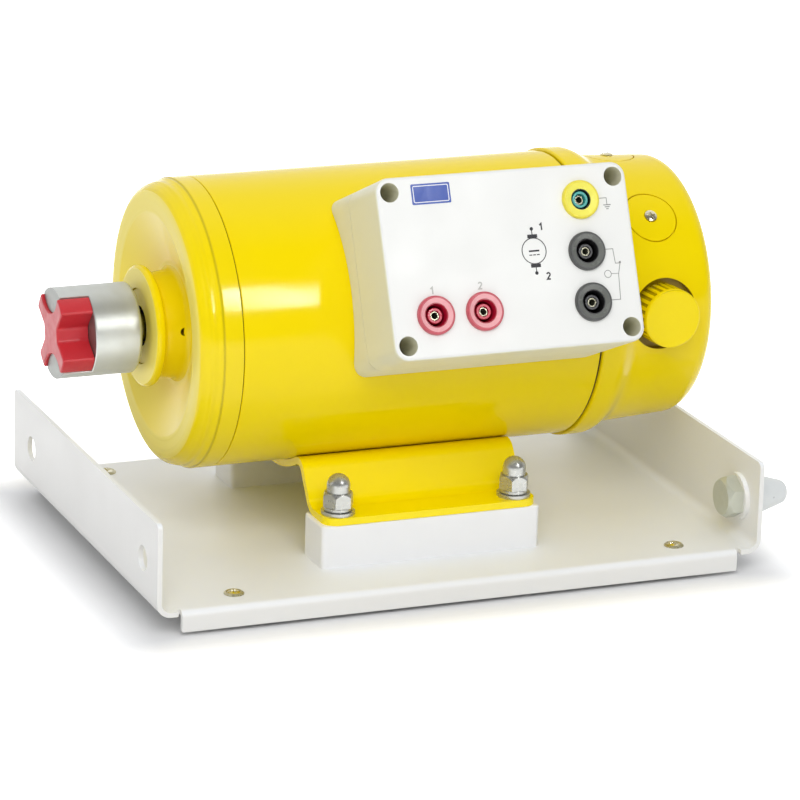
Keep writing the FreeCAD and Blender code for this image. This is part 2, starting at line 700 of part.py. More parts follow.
def through_bolt_tip():
    """Where the through bolts end inside the drive end shield."""
    return SHIELD_FACE + SHIELD_WALL + 4


def yoke_tube():
    """The rolled steel tube that closes the magnetic circuit."""
    tube = ring(YOKE_START, YOKE_LENGTH, YOKE_RADIUS, YOKE_BORE)
    hole = at_station(rod(Vector(0, 0, 0), AXIS_Z, CABLE_HOLE_RADIUS, YOKE_RADIUS + 5),
                      BOX_CENTRE_X, BOX_TILT)
    fixings = []
    for side in (-1, 1):
        fixings.append(at_station(
            rod(Vector(side * BOX_FIXING_SPACING / 2, 0, YOKE_BORE - 5), AXIS_Z,
                BOX_FIXING_RADIUS, YOKE_WALL + 10), BOX_CENTRE_X, BOX_TILT))
    return on_motor(tube.cut([hole] + fixings))


def rear_end_cover():
    """Cast cover: wide band, waist, round corner, bearing pocket and pockets for stations."""
    waist = YOKE_END + COVER_BAND_WIDTH
    neck = waist + COVER_NECK_WIDTH
    spigot = YOKE_BORE - SPIGOT_CLEARANCE
    inside = COVER_FACE - COVER_WALL
    pocket = REAR_BEARING_OUTER
    cover = turned([
        (YOKE_END, COVER_BAND_RADIUS, 1.5), (waist, COVER_BAND_RADIUS, 12.0),
        (neck, COVER_NECK_RADIUS, 12.0), (COVER_FACE, COVER_END_RADIUS, COVER_CORNER),
        (COVER_FACE, 0, 0), (inside, 0, 0), (inside, pocket, 0),
        (REAR_BEARING_START, pocket, 0), (REAR_BEARING_START, pocket + COVER_WALL, 1.5),
        (inside, pocket + COVER_WALL, 1.5),
        (inside, COVER_END_RADIUS - COVER_WALL, 6.0),
        (neck, COVER_NECK_RADIUS - COVER_WALL, 5.0), (YOKE_END, spigot - COVER_WALL, 0),
        (YOKE_END - SPIGOT_LENGTH, spigot - COVER_WALL, 0),
        (YOKE_END - SPIGOT_LENGTH, spigot, 0), (YOKE_END, spigot, 0)])
    outline = turned([
        (YOKE_END, 0, 0), (YOKE_END, COVER_BAND_RADIUS, 1.5), (waist, COVER_BAND_RADIUS, 12.0),
        (neck, COVER_NECK_RADIUS, 12.0), (COVER_FACE, COVER_END_RADIUS, COVER_CORNER),
        (COVER_FACE, 0, 0)])
    bosses = []
    pockets = []
    floor = STATION_FLOOR - STATION_WALL
    for angle in STATIONS.values():
        boss = rod(AXIS_Z * floor, AXIS_Z, STATION_POCKET_RADIUS + STATION_WALL, 30)
        bosses.append(at_station(boss, STATION_X, angle).common(outline))
        pocket_cut = rod(AXIS_Z * STATION_FLOOR, AXIS_Z, STATION_POCKET_RADIUS, 30)
        bore = rod(AXIS_Z * (floor - 1), AXIS_Z, HOLDER_RADIUS, 30)
        pockets.append(at_station(joined([pocket_cut, bore]), STATION_X, angle))
    plate_floor = plate_seat()
    for angle in PLATES.values():
        boss = rod(AXIS_Z * floor, AXIS_Z, COVER_PLATE_RADIUS + STATION_WALL, 30)
        bosses.append(at_station(boss, STATION_X, angle).common(outline))
        recess = rod(AXIS_Z * plate_floor, AXIS_Z, COVER_PLATE_RADIUS + COVER_PLATE_GAP, 30)
        pockets.append(at_station(recess, STATION_X, angle))
    for place in through_bolt_places():
        seat = place + AXIS_X * (COVER_FACE - THROUGH_BOLT_SUNK)
        pockets.append(rod(seat, AXIS_X, THROUGH_BOLT_HEAD + 1.0, 10))
        pockets.append(rod(seat, AXIS_X * -1, THROUGH_BOLT_RADIUS + BOLT_HOLE_CLEARANCE,
                           COVER_WALL + 10))
    return on_motor(joined([cover] + bosses).cut(pockets))


def plate_seat():
    """Distance from the motor axis to the floor under a flush cover plate."""
    edge = math.sqrt(COVER_NECK_RADIUS ** 2 - (COVER_PLATE_RADIUS + COVER_PLATE_GAP) ** 2)
    return edge - COVER_PLATE_THICKNESS


def through_bolts():
    """Long bolts with socket heads, from the rear cover to the drive end shield."""
    bolts = []
    for place in through_bolt_places():
        seat = place + AXIS_X * (COVER_FACE - THROUGH_BOLT_SUNK)
        tip = through_bolt_tip()
        shank = rod(place + AXIS_X * tip, AXIS_X, THROUGH_BOLT_RADIUS, seat.x - tip)
        head = rod(seat, AXIS_X, THROUGH_BOLT_HEAD, THROUGH_BOLT_HEAD_HEIGHT)
        key = hexagon_prism(seat + AXIS_X * (THROUGH_BOLT_HEAD_HEIGHT - THROUGH_BOLT_KEY_DEPTH),
                            AXIS_X, 5.0, 4)
        bolts.append(on_motor(joined([shank, head]).cut(key)))
    return bolts


def field_magnets():
    """Four arc magnets against the bore of the tube."""
    inner = ARMATURE_RADIUS + AIR_GAP
    outer = YOKE_BORE - 0.1
    length = ARMATURE_LENGTH + 2 * MAGNET_EXTRA_LENGTH
    start = ARMATURE_CENTRE - length / 2
    magnets = []
    for number in range(4):
        section = Part.Face(rounded_outline([
            (start, inner, 0), (start, outer, 0), (start + length, outer, 0),
            (start + length, inner, 0)]))
        magnet = section.revolve(Vector(0, 0, 0), AXIS_X, MAGNET_SPAN)
        magnet.rotate(Vector(0, 0, 0), AXIS_X, 90 * number - MAGNET_SPAN / 2)
        magnets.append(on_motor(magnet))
    return magnets


def cover_plates(angle):
    """A flush round plate, curved like the cover, with a sunk hole for its screw."""
    seat = plate_seat()
    disc = rod(AXIS_Z * seat, AXIS_Z, COVER_PLATE_RADIUS, 30)
    neck_x = YOKE_END + COVER_BAND_WIDTH + COVER_NECK_WIDTH - STATION_X
    face_x = COVER_FACE - STATION_X
    outline = Part.makeCone(COVER_NECK_RADIUS, COVER_END_RADIUS, face_x - neck_x,
                            Vector(neck_x, 0, 0), AXIS_X)
    ahead = Part.makeCylinder(COVER_NECK_RADIUS, 40, Vector(neck_x, 0, 0), AXIS_X * -1)
    plate = disc.common(joined([outline, ahead]))
    top = plate_screw_seat()
    sunk = rod(AXIS_Z * top, AXIS_Z, PLATE_SCREW_RADIUS + 0.4, 20)
    hole = rod(AXIS_Z * seat, AXIS_Z, PLATE_SCREW_RADIUS / 2, 20)
    return on_motor(at_station(plate.cut([sunk, hole]), STATION_X, angle))


def plate_screw_seat():
    """Distance from the motor axis to the seat of a cover plate's screw head."""
    return plate_seat() + COVER_PLATE_THICKNESS


def cover_plate_screws():
    """One pan-head screw in the middle of each cover plate."""
    screws = []
    for angle in PLATES.values():
        head = Part.makeCone(PLATE_SCREW_RADIUS, PLATE_SCREW_RADIUS - 1, 2.2,
                             AXIS_Z * plate_screw_seat())
        slot = box(Vector(-PLATE_SCREW_RADIUS, -0.5, plate_screw_seat() + 1.3),
                   Vector(PLATE_SCREW_RADIUS, 0.5, plate_screw_seat() + 3))
        shank = rod(AXIS_Z * plate_seat(), AXIS_Z, PLATE_SCREW_RADIUS / 2, COVER_PLATE_THICKNESS)
        screw = joined([head.cut(slot), shank])
        screws.append(on_motor(at_station(screw, STATION_X, angle)))
    return screws


# ---------------------------------------------------------------- bearings
def bearing(start, width, bore, outer):
    """Outer ring, inner ring and balls of a deep-groove ball bearing."""
    pitch = (bore + outer) / 2
    ball = (outer - bore) * 0.29
    middle = start + width / 2
    land = (outer - bore) * 0.17
    groove = Part.makeTorus(pitch, ball + RACE_CLEARANCE, Vector(middle, 0, 0), AXIS_X)
    outer_ring = ring(start, width, outer, pitch + land).cut(groove)
    inner_ring = ring(start, width, pitch - land, bore).cut(groove)
    balls = []
    for number in range(BALL_COUNT):
        angle = 2 * math.pi * number / BALL_COUNT
        place = Vector(middle, pitch * math.cos(angle), pitch * math.sin(angle))
        balls.append(on_motor(Part.makeSphere(ball, place)))
    return on_motor(outer_ring), on_motor(inner_ring), balls


# ---------------------------------------------------------------- rotor
def motor_shaft():
    """Stepped shaft from the coupling to the rear bearing."""
    start = HUB_START + 2.0
    drive_end = DRIVE_BEARING_START + DRIVE_BEARING_WIDTH
    core_radius = DRIVE_BEARING_BORE + 4
    rear_end = REAR_BEARING_START + REAR_BEARING_WIDTH - 1
    shaft = turned([
        (start, 0, 0), (start, SHAFT_RADIUS, 1.0), (DRIVE_BEARING_START - 1, SHAFT_RADIUS, 0),
        (DRIVE_BEARING_START - 1, DRIVE_BEARING_BORE, 0), (drive_end, DRIVE_BEARING_BORE, 0),
        (drive_end, core_radius, 0), (REAR_BEARING_START, core_radius, 0),
        (REAR_BEARING_START, REAR_BEARING_BORE, 0), (rear_end, REAR_BEARING_BORE, 0.8),
        (rear_end, 0, 0)])
    return on_motor(shaft.cut(key_block()))


def key_block():
    """The coupling's key: half in the shaft, half in the hub."""
    middle = (HUB_START + HUB_END) / 2
    low = SHAFT_RADIUS - KEY_DEPTH
    return box(Vector(middle - KEY_LENGTH / 2, -KEY_WIDTH / 2, low),
               Vector(middle + KEY_LENGTH / 2, KEY_WIDTH / 2, low + 2 * KEY_DEPTH - 1))


def armature_core():
    """Lamination stack with open slots."""
    start = ARMATURE_CENTRE - ARMATURE_LENGTH / 2
    core = ring(start, ARMATURE_LENGTH, ARMATURE_RADIUS, DRIVE_BEARING_BORE + 4)
    slots = []
    for number in range(ARMATURE_SLOTS):
        slot = box(Vector(start - 1, -SLOT_WIDTH / 2, ARMATURE_RADIUS - SLOT_DEPTH),
                   Vector(start + ARMATURE_LENGTH + 1, SLOT_WIDTH / 2, ARMATURE_RADIUS + 1))
        slot.rotate(Vector(0, 0, 0), AXIS_X, 360 * number / ARMATURE_SLOTS)
        slots.append(slot)
    return on_motor(core.cut(slots))


def armature_winding():
    """Copper in the slots, with a round bundle of end turns at each end of the stack."""
    start = ARMATURE_CENTRE - ARMATURE_LENGTH / 2
    end = start + ARMATURE_LENGTH
    outer = ARMATURE_RADIUS - 3
    inner = ARMATURE_RADIUS - SLOT_DEPTH - 6
    front = turned([(start - WINDING_OVERHANG, inner, 6.0), (start - WINDING_OVERHANG, outer, 6.0),
                    (start, outer, 0), (start, inner, 0)])
    rear = turned([(end, inner, 0), (end, outer, 0), (end + WINDING_OVERHANG, outer, 6.0),
                   (end + WINDING_OVERHANG, inner, 6.0)])
    bars = []
    for number in range(ARMATURE_SLOTS):
        bar = box(Vector(start, -SLOT_WIDTH / 2 + 0.2, ARMATURE_RADIUS - SLOT_DEPTH + 0.2),
                  Vector(end, SLOT_WIDTH / 2 - 0.2, ARMATURE_RADIUS - 3))
        bar.rotate(Vector(0, 0, 0), AXIS_X, 360 * number / ARMATURE_SLOTS)
        bars.append(bar)
    return on_motor(front.fuse(bars + [rear]))


def commutator():
    """Copper segments with thin slots between them."""
    start = STATION_X - COMMUTATOR_LENGTH / 2
    body = ring(start, COMMUTATOR_LENGTH, COMMUTATOR_RADIUS, DRIVE_BEARING_BORE + 4)
    slots = []
    for number in range(COMMUTATOR_SEGMENTS):
        slot = box(Vector(start - 1, -0.4, COMMUTATOR_RADIUS - 1.5),
                   Vector(start + COMMUTATOR_LENGTH + 1, 0.4, COMMUTATOR_RADIUS + 1))
        slot.rotate(Vector(0, 0, 0), AXIS_X, 360 * (number + 0.5) / COMMUTATOR_SEGMENTS)
        slots.append(slot)
    return on_motor(body.cut(slots))


def jaw_round(angle, start, length, radius):
    """A cylinder along the shaft where a jaw of the coupling stands, angle up from the front."""
    turn = math.radians(angle + COUPLING_TURN)
    centre = Vector(start, -math.cos(turn) * JAW_ROUND_CENTRE, math.sin(turn) * JAW_ROUND_CENTRE)
    return rod(centre, AXIS_X, radius, length)


def coupling_hub():
    """Aluminium hub with two jaws, above and below the axis, round on their inner side."""
    barrel = turned([
        (HUB_START, SHAFT_RADIUS, 0), (HUB_START, HUB_RADIUS, 0.8),
        (HUB_END, HUB_RADIUS, HUB_CHAMFER), (HUB_END, SHAFT_RADIUS, 0)])
    jaws = []
    for angle in (90, 270):
        start = HUB_START - JAW_LENGTH
        length = JAW_LENGTH + 2
        rim = rod(Vector(start, 0, 0), AXIS_X, HUB_RADIUS, length)
        jaws.append(rim.common(jaw_round(angle, start, length, JAW_ROUND_RADIUS)))
    hole = rod(Vector(set_screw_x(), 0, 0), AXIS_Y, SET_SCREW_RADIUS, HUB_RADIUS + 5)
    hub = joined([barrel] + jaws).cut([key_block(), hole])
    return on_motor(hub)


def set_screw_x():
    """Where the hub's clamping screw stands along the shaft."""
    return HUB_END - 8.0


def coupling_spider():
    """Red elastic spider: a round block with four hollows, two of them for the hub's jaws."""
    spider = rod(Vector(SPIDER_START, 0, 0), AXIS_X, SPIDER_RADIUS, SPIDER_LENGTH)
    hollow = JAW_ROUND_RADIUS + SPIDER_GAP
    hollows = [jaw_round(angle, SPIDER_START - 1, SPIDER_LENGTH + 2, hollow)
               for angle in (0, 90, 180, 270)]
    spider = spider.cut(hollows)
    long_edges = [edge for edge in spider.Edges
                  if abs(edge.Length - SPIDER_LENGTH) < 0.01
                  and math.hypot(edge.CenterOfMass.y, edge.CenterOfMass.z) > SPIDER_RADIUS - 1]
    spider = spider.makeFillet(SPIDER_LEG_ROUND, long_edges)
    open_edges = [edge for edge in spider.Edges
                  if abs(edge.BoundBox.XMax - SPIDER_START) < 0.01]
    return on_motor(spider.makeFillet(SPIDER_EDGE_ROUND, open_edges))


def coupling_set_screw():
    """Grub screw behind the hub that holds it on the shaft."""
    screw = rod(Vector(set_screw_x(), SHAFT_RADIUS, 0), AXIS_Y, SET_SCREW_RADIUS,
                HUB_RADIUS - SHAFT_RADIUS - 3)
    key = hexagon_prism(Vector(set_screw_x(), HUB_RADIUS - 6, 0), AXIS_Y, 3.0, 5)
    return on_motor(screw.cut(key))


# ---------------------------------------------------------------- brush gear
def brush_holder(angle):
    """Insulated tube with a square way for the brush and a round mouth for the cap."""
    tube = rod(AXIS_Z * HOLDER_INNER_END, AXIS_Z, HOLDER_RADIUS, STATION_FLOOR - HOLDER_INNER_END)
    way = box(Vector(-BRUSH_WIDTH / 2 - BRUSH_CLEARANCE, -BRUSH_THICKNESS / 2 - BRUSH_CLEARANCE,
                     HOLDER_INNER_END - 1),
              Vector(BRUSH_WIDTH / 2 + BRUSH_CLEARANCE, BRUSH_THICKNESS / 2 + BRUSH_CLEARANCE,
                     STATION_FLOOR))
    mouth = rod(AXIS_Z * (STATION_FLOOR - CAP_SPIGOT_LENGTH - CAP_SEAT_GAP), AXIS_Z,
                CAP_SPIGOT_RADIUS + RACE_CLEARANCE, 30)
    return on_motor(at_station(tube.cut([way, mouth]), STATION_X, angle))


def brush(angle):
    """Carbon block, hollowed at its foot to the commutator's curve."""
    foot = COMMUTATOR_RADIUS + BRUSH_GAP
    block = box(Vector(-BRUSH_WIDTH / 2, -BRUSH_THICKNESS / 2, foot - 2),
                Vector(BRUSH_WIDTH / 2, BRUSH_THICKNESS / 2, foot + BRUSH_LENGTH))
    curve = rod(Vector(-BRUSH_WIDTH, 0, 0), AXIS_X, foot, 2 * BRUSH_WIDTH)
    return on_motor(at_station(block.cut(curve), STATION_X, angle))


def brush_spring(angle):
    """Coil spring of square wire between the brush and the cap, in flat facets."""
    low = COMMUTATOR_RADIUS + BRUSH_GAP + BRUSH_LENGTH + SPRING_SEAT_GAP
    high = STATION_FLOOR - CAP_SPIGOT_LENGTH
    half = SPRING_WIRE / 2
    steps = SPRING_TURNS * SPRING_FACETS
    climb = (high - low - SPRING_WIRE) / steps
    rows = []
    for step in range(steps + 1):
        turn = 2 * math.pi * step / SPRING_FACETS
        out = Vector(math.cos(turn), math.sin(turn), 0)
        middle = out * SPRING_RADIUS + AXIS_Z * (low + half + climb * step)
        rows.append([middle + out * (side * half) + AXIS_Z * (up * half)
                     for side, up in ((1, 1), (-1, 1), (-1, -1), (1, -1))])
    faces = [Part.Face(Part.makePolygon(row + row[:1])) for row in (rows[0], rows[-1])]
    for row, following in zip(rows, rows[1:]):
        for index in range(4):
            near = (index + 1) % 4
            for corners in ((row[index], row[near], following[near]),
                            (row[index], following[near], following[index])):
                faces.append(Part.Face(Part.makePolygon(corners + corners[:1])))
    coil = Part.Solid(Part.Shell(faces))
    return on_motor(at_station(coil, STATION_X, angle))


def brush_cap(angle):
    """Screw cap with a ribbed rim, and a spigot in the holder's mouth."""
    seat = STATION_FLOOR + CAP_SEAT_GAP
    knob = rod(AXIS_Z * seat, AXIS_Z, CAP_RADIUS, CAP_TOP - seat)
    top_edge = [edge for edge in knob.Edges if abs(edge.BoundBox.ZMin - CAP_TOP) < 0.01]
    knob = knob.makeFillet(1.2, top_edge)
    grooves = []
    for number in range(CAP_RIBS):
        turn = 2 * math.pi * number / CAP_RIBS
        place = Vector(math.cos(turn), math.sin(turn), 0) * (CAP_RADIUS + 0.4)
        groove = rod(place + AXIS_Z * (seat - 1), AXIS_Z, CAP_RIB_DEPTH, CAP_TOP - seat - 2)
        grooves.append(groove)
    knob = knob.cut(grooves)
    spigot = rod(AXIS_Z * (seat - CAP_SPIGOT_LENGTH), AXIS_Z, CAP_SPIGOT_RADIUS,
                 CAP_SPIGOT_LENGTH)
    return on_motor(at_station(joined([knob, spigot]), STATION_X, angle))


# ---------------------------------------------------------------- terminal box
def panel_block(low_w, high_w, shrink):
    """A block with the box's outline between two distances from the motor axis."""
    low = Vector(-BOX_WIDTH / 2 + shrink, BOX_CENTRE_UP - BOX_HEIGHT / 2 + shrink, low_w)
    high = Vector(BOX_WIDTH / 2 - shrink, BOX_CENTRE_UP + BOX_HEIGHT / 2 - shrink, high_w)
    return rounded_block(low, high, BOX_CORNER - shrink)


def box_screw_places():
    """Centres of the four lid screws, in panel directions."""
    return [Vector(x, BOX_CENTRE_UP + y, 0)
            for x in (-BOX_SCREW_SPACING_X / 2, BOX_SCREW_SPACING_X / 2)
            for y in (-BOX_SCREW_SPACING_Y / 2, BOX_SCREW_SPACING_Y / 2)]


def socket_places():
    """Centres of the five sockets by name, in panel directions."""
    left = -RED_SOCKET_LEFT
    right = RIGHT_SOCKET_RIGHT
    return {
        "red_socket_left": Vector(left, BOX_CENTRE_UP - RED_SOCKET_UP, 0),
        "red_socket_right": Vector(left + SOCKET_PITCH + 0.4, BOX_CENTRE_UP - RED_SOCKET_UP, 0),
        "earth_socket": Vector(right, BOX_CENTRE_UP + EARTH_SOCKET_UP, 0),
        "black_socket_upper": Vector(right, BOX_CENTRE_UP + BLACK_SOCKET_UP, 0),
        "black_socket_lower": Vector(right, BOX_CENTRE_UP + BLACK_SOCKET_UP - SOCKET_PITCH, 0),
    }


def terminal_box_lid():
    """Deep moulded lid with sunk screw wells and round holes for the sockets."""
    outside = panel_block(LID_BOTTOM, PANEL_DISTANCE, 0)
    face_edges = [edge for edge in outside.Edges
                  if abs(edge.BoundBox.ZMin - PANEL_DISTANCE) < 0.01]
    outside = outside.makeFillet(BOX_EDGE, face_edges)
    inside = panel_block(LID_BOTTOM - 1, PANEL_DISTANCE - LID_WALL, LID_WALL)
    posts = []
    cuts = []
    for place in box_screw_places():
        post = rod(place + AXIS_Z * LID_BOTTOM, AXIS_Z, BOX_SCREW_POST, LID_DEPTH - 1)
        posts.append(post.common(panel_block(LID_BOTTOM, PANEL_DISTANCE, 0.5)))
        cuts.append(rod(place + AXIS_Z * WELL_FLOOR, AXIS_Z, BOX_SCREW_WELL, CUT_REACH))
        cuts.append(rod(place + AXIS_Z * (LID_BOTTOM - 1), AXIS_Z,
                        BOX_SCREW_RADIUS + SCREW_CLEARANCE, CUT_REACH))
    for place in socket_places().values():
        cuts.append(rod(place + AXIS_Z * (PANEL_DISTANCE - LID_WALL - 1), AXIS_Z,
                        SOCKET_BODY_RADIUS + 0.1, LID_WALL + 2))
    return on_panel(joined([outside.cut(inside)] + posts).cut(cuts))


def terminal_box_base():
    """Moulded base whose rear edge is cut to sit on the round tube and the end cover."""
    top = LID_BOTTOM - GASKET_THICKNESS
    outside = panel_block(BOX_FOOT_DISTANCE - 30, top, 0)
    inside = panel_block(YOKE_RADIUS + LID_WALL, top + 1, LID_WALL)
    posts = []
    cuts = []
    for place in box_screw_places():
        post = rod(place + AXIS_Z * BOX_FOOT_DISTANCE, AXIS_Z, BOX_SCREW_POST,
                   top - BOX_FOOT_DISTANCE)
        posts.append(post.common(panel_block(BOX_FOOT_DISTANCE, top, 0.5)))
        cuts.append(rod(place + AXIS_Z * (top - BOX_SCREW_PILOT), AXIS_Z, BOX_SCREW_RADIUS,
                        2 * BOX_SCREW_PILOT))
    body = on_motor(at_station(joined([outside.cut(inside)] + posts), BOX_CENTRE_X, BOX_TILT))
    saddle = on_motor(rod(Vector(0, 0, 0), AXIS_X, YOKE_RADIUS + BOX_SEAT_GAP, YOKE_END + 0.3))
    band = on_motor(rod(Vector(YOKE_END, 0, 0), AXIS_X, COVER_BAND_RADIUS + BOX_SEAT_GAP, 40))
    for side in (-1, 1):
        cuts.append(rod(Vector(side * BOX_FIXING_SPACING / 2, 0, YOKE_RADIUS - 1), AXIS_Z,
                        BOX_FIXING_RADIUS + SCREW_CLEARANCE, 2 * PARTING_ABOVE_TUBE))
    cuts.append(rod(AXIS_Z * YOKE_BORE, AXIS_Z, CABLE_HOLE_RADIUS, 2 * PARTING_ABOVE_TUBE))
    placed = [on_panel(cut) for cut in cuts]
    return body.cut([saddle, band] + placed)


def lid_gasket():
    """Flat rubber seal between the lid and the base."""
    low = LID_BOTTOM - GASKET_THICKNESS
    outer = panel_block(low, LID_BOTTOM, 0.6)
    inner = panel_block(low - 1, LID_BOTTOM + 1, LID_WALL)
    posts = [rod(place + AXIS_Z * low, AXIS_Z, BOX_SCREW_POST, GASKET_THICKNESS)
             for place in box_screw_places()]
    trimmed = [post.common(panel_block(low, LID_BOTTOM, 0.6)) for post in posts]
    holes = [rod(place + AXIS_Z * (low - 1), AXIS_Z, BOX_SCREW_RADIUS + SCREW_CLEARANCE, 10)
             for place in box_screw_places()]
    return on_panel(joined([outer.cut(inner)] + trimmed).cut(holes))


def lid_screws():
    """Screws at the bottom of the lid's wells, into the posts of the base."""
    screws = []
    seat = WELL_FLOOR
    tip = LID_BOTTOM - GASKET_THICKNESS - BOX_SCREW_REACH
    for place in box_screw_places():
        shank = rod(place + AXIS_Z * tip, AXIS_Z, BOX_SCREW_RADIUS, seat - tip)
        head = Part.makeCone(BOX_SCREW_HEAD, 0.7 * BOX_SCREW_HEAD, BOX_SCREW_HEAD_HEIGHT,
                             place + AXIS_Z * seat)
        slot = box(Vector(-0.5, -BOX_SCREW_HEAD, seat + BOX_SCREW_HEAD_HEIGHT - 1) + place,
                   Vector(0.5, BOX_SCREW_HEAD, seat + BOX_SCREW_HEAD_HEIGHT + 1) + place)
        screws.append(on_panel(joined([shank, head.cut(slot)])))
    return screws


def box_fixing_screws():
    """Two screws that hold the box's base on the tube."""
    screws = []
    seat = YOKE_RADIUS + LID_WALL
    for side in (-1, 1):
        place = Vector(side * BOX_FIXING_SPACING / 2, 0, 0)
        tip = YOKE_BORE + BOX_FIXING_TIP
        shank = rod(place + AXIS_Z * tip, AXIS_Z, BOX_FIXING_RADIUS, seat - tip)
        head = rod(place + AXIS_Z * seat, AXIS_Z, BOX_FIXING_HEAD, BOX_FIXING_HEAD_HEIGHT)
        screws.append(on_panel(joined([shank, head])))
    return screws


def socket_body(place):
    """Insulating socket: collar on the panel, deep ring cavity and a post round the contact."""
    front = PANEL_DISTANCE + SOCKET_COLLAR_HEIGHT
    back = PANEL_DISTANCE - SOCKET_DEPTH
    collar = rod(AXIS_Z * PANEL_DISTANCE, AXIS_Z, SOCKET_COLLAR_RADIUS, SOCKET_COLLAR_HEIGHT)
    rim = [edge for edge in collar.Edges if abs(edge.BoundBox.ZMin - front) < 0.01]
    collar = collar.makeFillet(1.0, rim)
    barrel = rod(AXIS_Z * back, AXIS_Z, SOCKET_BODY_RADIUS, SOCKET_DEPTH)
    cavity = rod(AXIS_Z * (back + 3), AXIS_Z, SOCKET_CAVITY_RADIUS, 60)
    post = rod(AXIS_Z * back, AXIS_Z, SOCKET_POST_RADIUS, SOCKET_DEPTH - 1.0)
    hole = rod(AXIS_Z * (back - 1), AXIS_Z, SOCKET_CONTACT_RADIUS, 60)
    body = joined([joined([collar, barrel]).cut(cavity), post]).cut(hole)
    body.translate(place)
    return on_panel(body)


def socket_contacts():
    """Brass tubes that take the 4 mm plugs."""
    contacts = []
    top = PANEL_DISTANCE - SOCKET_CONTACT_SINK
    for place in socket_places().values():
        low = place + AXIS_Z * (top - SOCKET_CONTACT_LENGTH)
        tube = rod(low, AXIS_Z, SOCKET_CONTACT_RADIUS, SOCKET_CONTACT_LENGTH)
        bore = rod(low + AXIS_Z * SOCKET_BORE_FLOOR, AXIS_Z, SOCKET_BORE_RADIUS,
                   SOCKET_CONTACT_LENGTH)
        contacts.append(on_panel(tube.cut(bore)))
    return contacts


def socket_nuts():
    """Plastic nuts behind the panel."""
    nuts = []
    for place in socket_places().values():
        seat = place + AXIS_Z * (PANEL_DISTANCE - LID_WALL)
        nut = hexagon_prism(seat, AXIS_Z * -1, SOCKET_NUT_FLATS, SOCKET_NUT_THICKNESS)
        nuts.append(on_panel(nut.cut(rod(seat, AXIS_Z * -1, SOCKET_BODY_RADIUS,
                                         SOCKET_NUT_THICKNESS))))
    return nuts


def thermal_switch():
    """Thermal contact clipped inside the rear cover, beside the upper cover plate."""
    inner = COVER_NECK_RADIUS - COVER_WALL
    capsule = rod(Vector(-THERMAL_LENGTH / 2, 0, inner - THERMAL_RADIUS - THERMAL_SINK), AXIS_X,
                  THERMAL_RADIUS, THERMAL_LENGTH)
    return on_motor(at_station(capsule, STATION_X - 2, -90))


# ---------------------------------------------------------------- write the nodes
os.makedirs("parts", exist_ok=True)

save("base_tray", base_tray())
save("rubber_feet", *rubber_feet())
save("foot_screws", *foot_screws())
dock_bolts, dock_washers, dock_cones = docking_parts()
save("docking_bolts", *dock_bolts)
save("docking_washers", *dock_washers)
save("docking_cones", *dock_cones)
save("riser_front", riser(RISER_FRONT))
save("riser_rear", riser(TRAY_WIDTH - RISER_FRONT - RISER_DEPTH))
save("motor_cradle", motor_cradle())
stud_bolts, flat_washers, spring_washers, dome_nuts = cradle_fasteners()
save("cradle_bolts", *stud_bolts)
save("cradle_washers", *flat_washers)
save("cradle_lock_washers", *spring_washers)
save("cradle_dome_nuts", *dome_nuts)

save("drive_end_shield", drive_end_shield())
save("yoke_tube", yoke_tube())
save("rear_end_cover", rear_end_cover())
save("through_bolts", *through_bolts())
save("field_magnets", *field_magnets())
for plate_name, plate_angle in PLATES.items():
    save(plate_name + "_cover_plate", cover_plates(plate_angle))
save("cover_plate_screws", *cover_plate_screws())
save("thermal_switch", thermal_switch())

for end, start_x, width_x, bore_r, outer_r in (
        ("drive", DRIVE_BEARING_START, DRIVE_BEARING_WIDTH, DRIVE_BEARING_BORE,
         DRIVE_BEARING_OUTER),
        ("rear", REAR_BEARING_START, REAR_BEARING_WIDTH, REAR_BEARING_BORE, REAR_BEARING_OUTER)):
    race_outer, race_inner, race_balls = bearing(start_x, width_x, bore_r, outer_r)
    save(end + "_bearing_outer_ring", race_outer)
    save(end + "_bearing_inner_ring", race_inner)
    save(end + "_bearing_balls", *race_balls)

save("motor_shaft", motor_shaft())
save("armature_core", armature_core())
save("armature_winding", armature_winding())
save("commutator", commutator())
save("coupling_hub", coupling_hub())
save("coupling_spider", coupling_spider())
save("coupling_key", on_motor(key_block()))
save("coupling_set_screw", coupling_set_screw())

for station_name, station_angle in STATIONS.items():
    save("brush_holder_" + station_name, brush_holder(station_angle))
    save("brush_" + station_name, brush(station_angle))
    save("brush_spring_" + station_name, brush_spring(station_angle))
    save("brush_cap_" + station_name, brush_cap(station_angle))

save("terminal_box_base", terminal_box_base())
save("terminal_box_lid", terminal_box_lid())
save("lid_gasket", lid_gasket())
save("lid_screws", *lid_screws())
save("box_fixing_screws", *box_fixing_screws())
for socket_name, socket_place in socket_places().items():
    save(socket_name, socket_body(socket_place))
save("socket_contacts", *socket_contacts())
save("socket_nuts", *socket_nuts())
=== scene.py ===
import math

import bmesh
import bpy
import numpy as np
from mathutils import Matrix, Vector


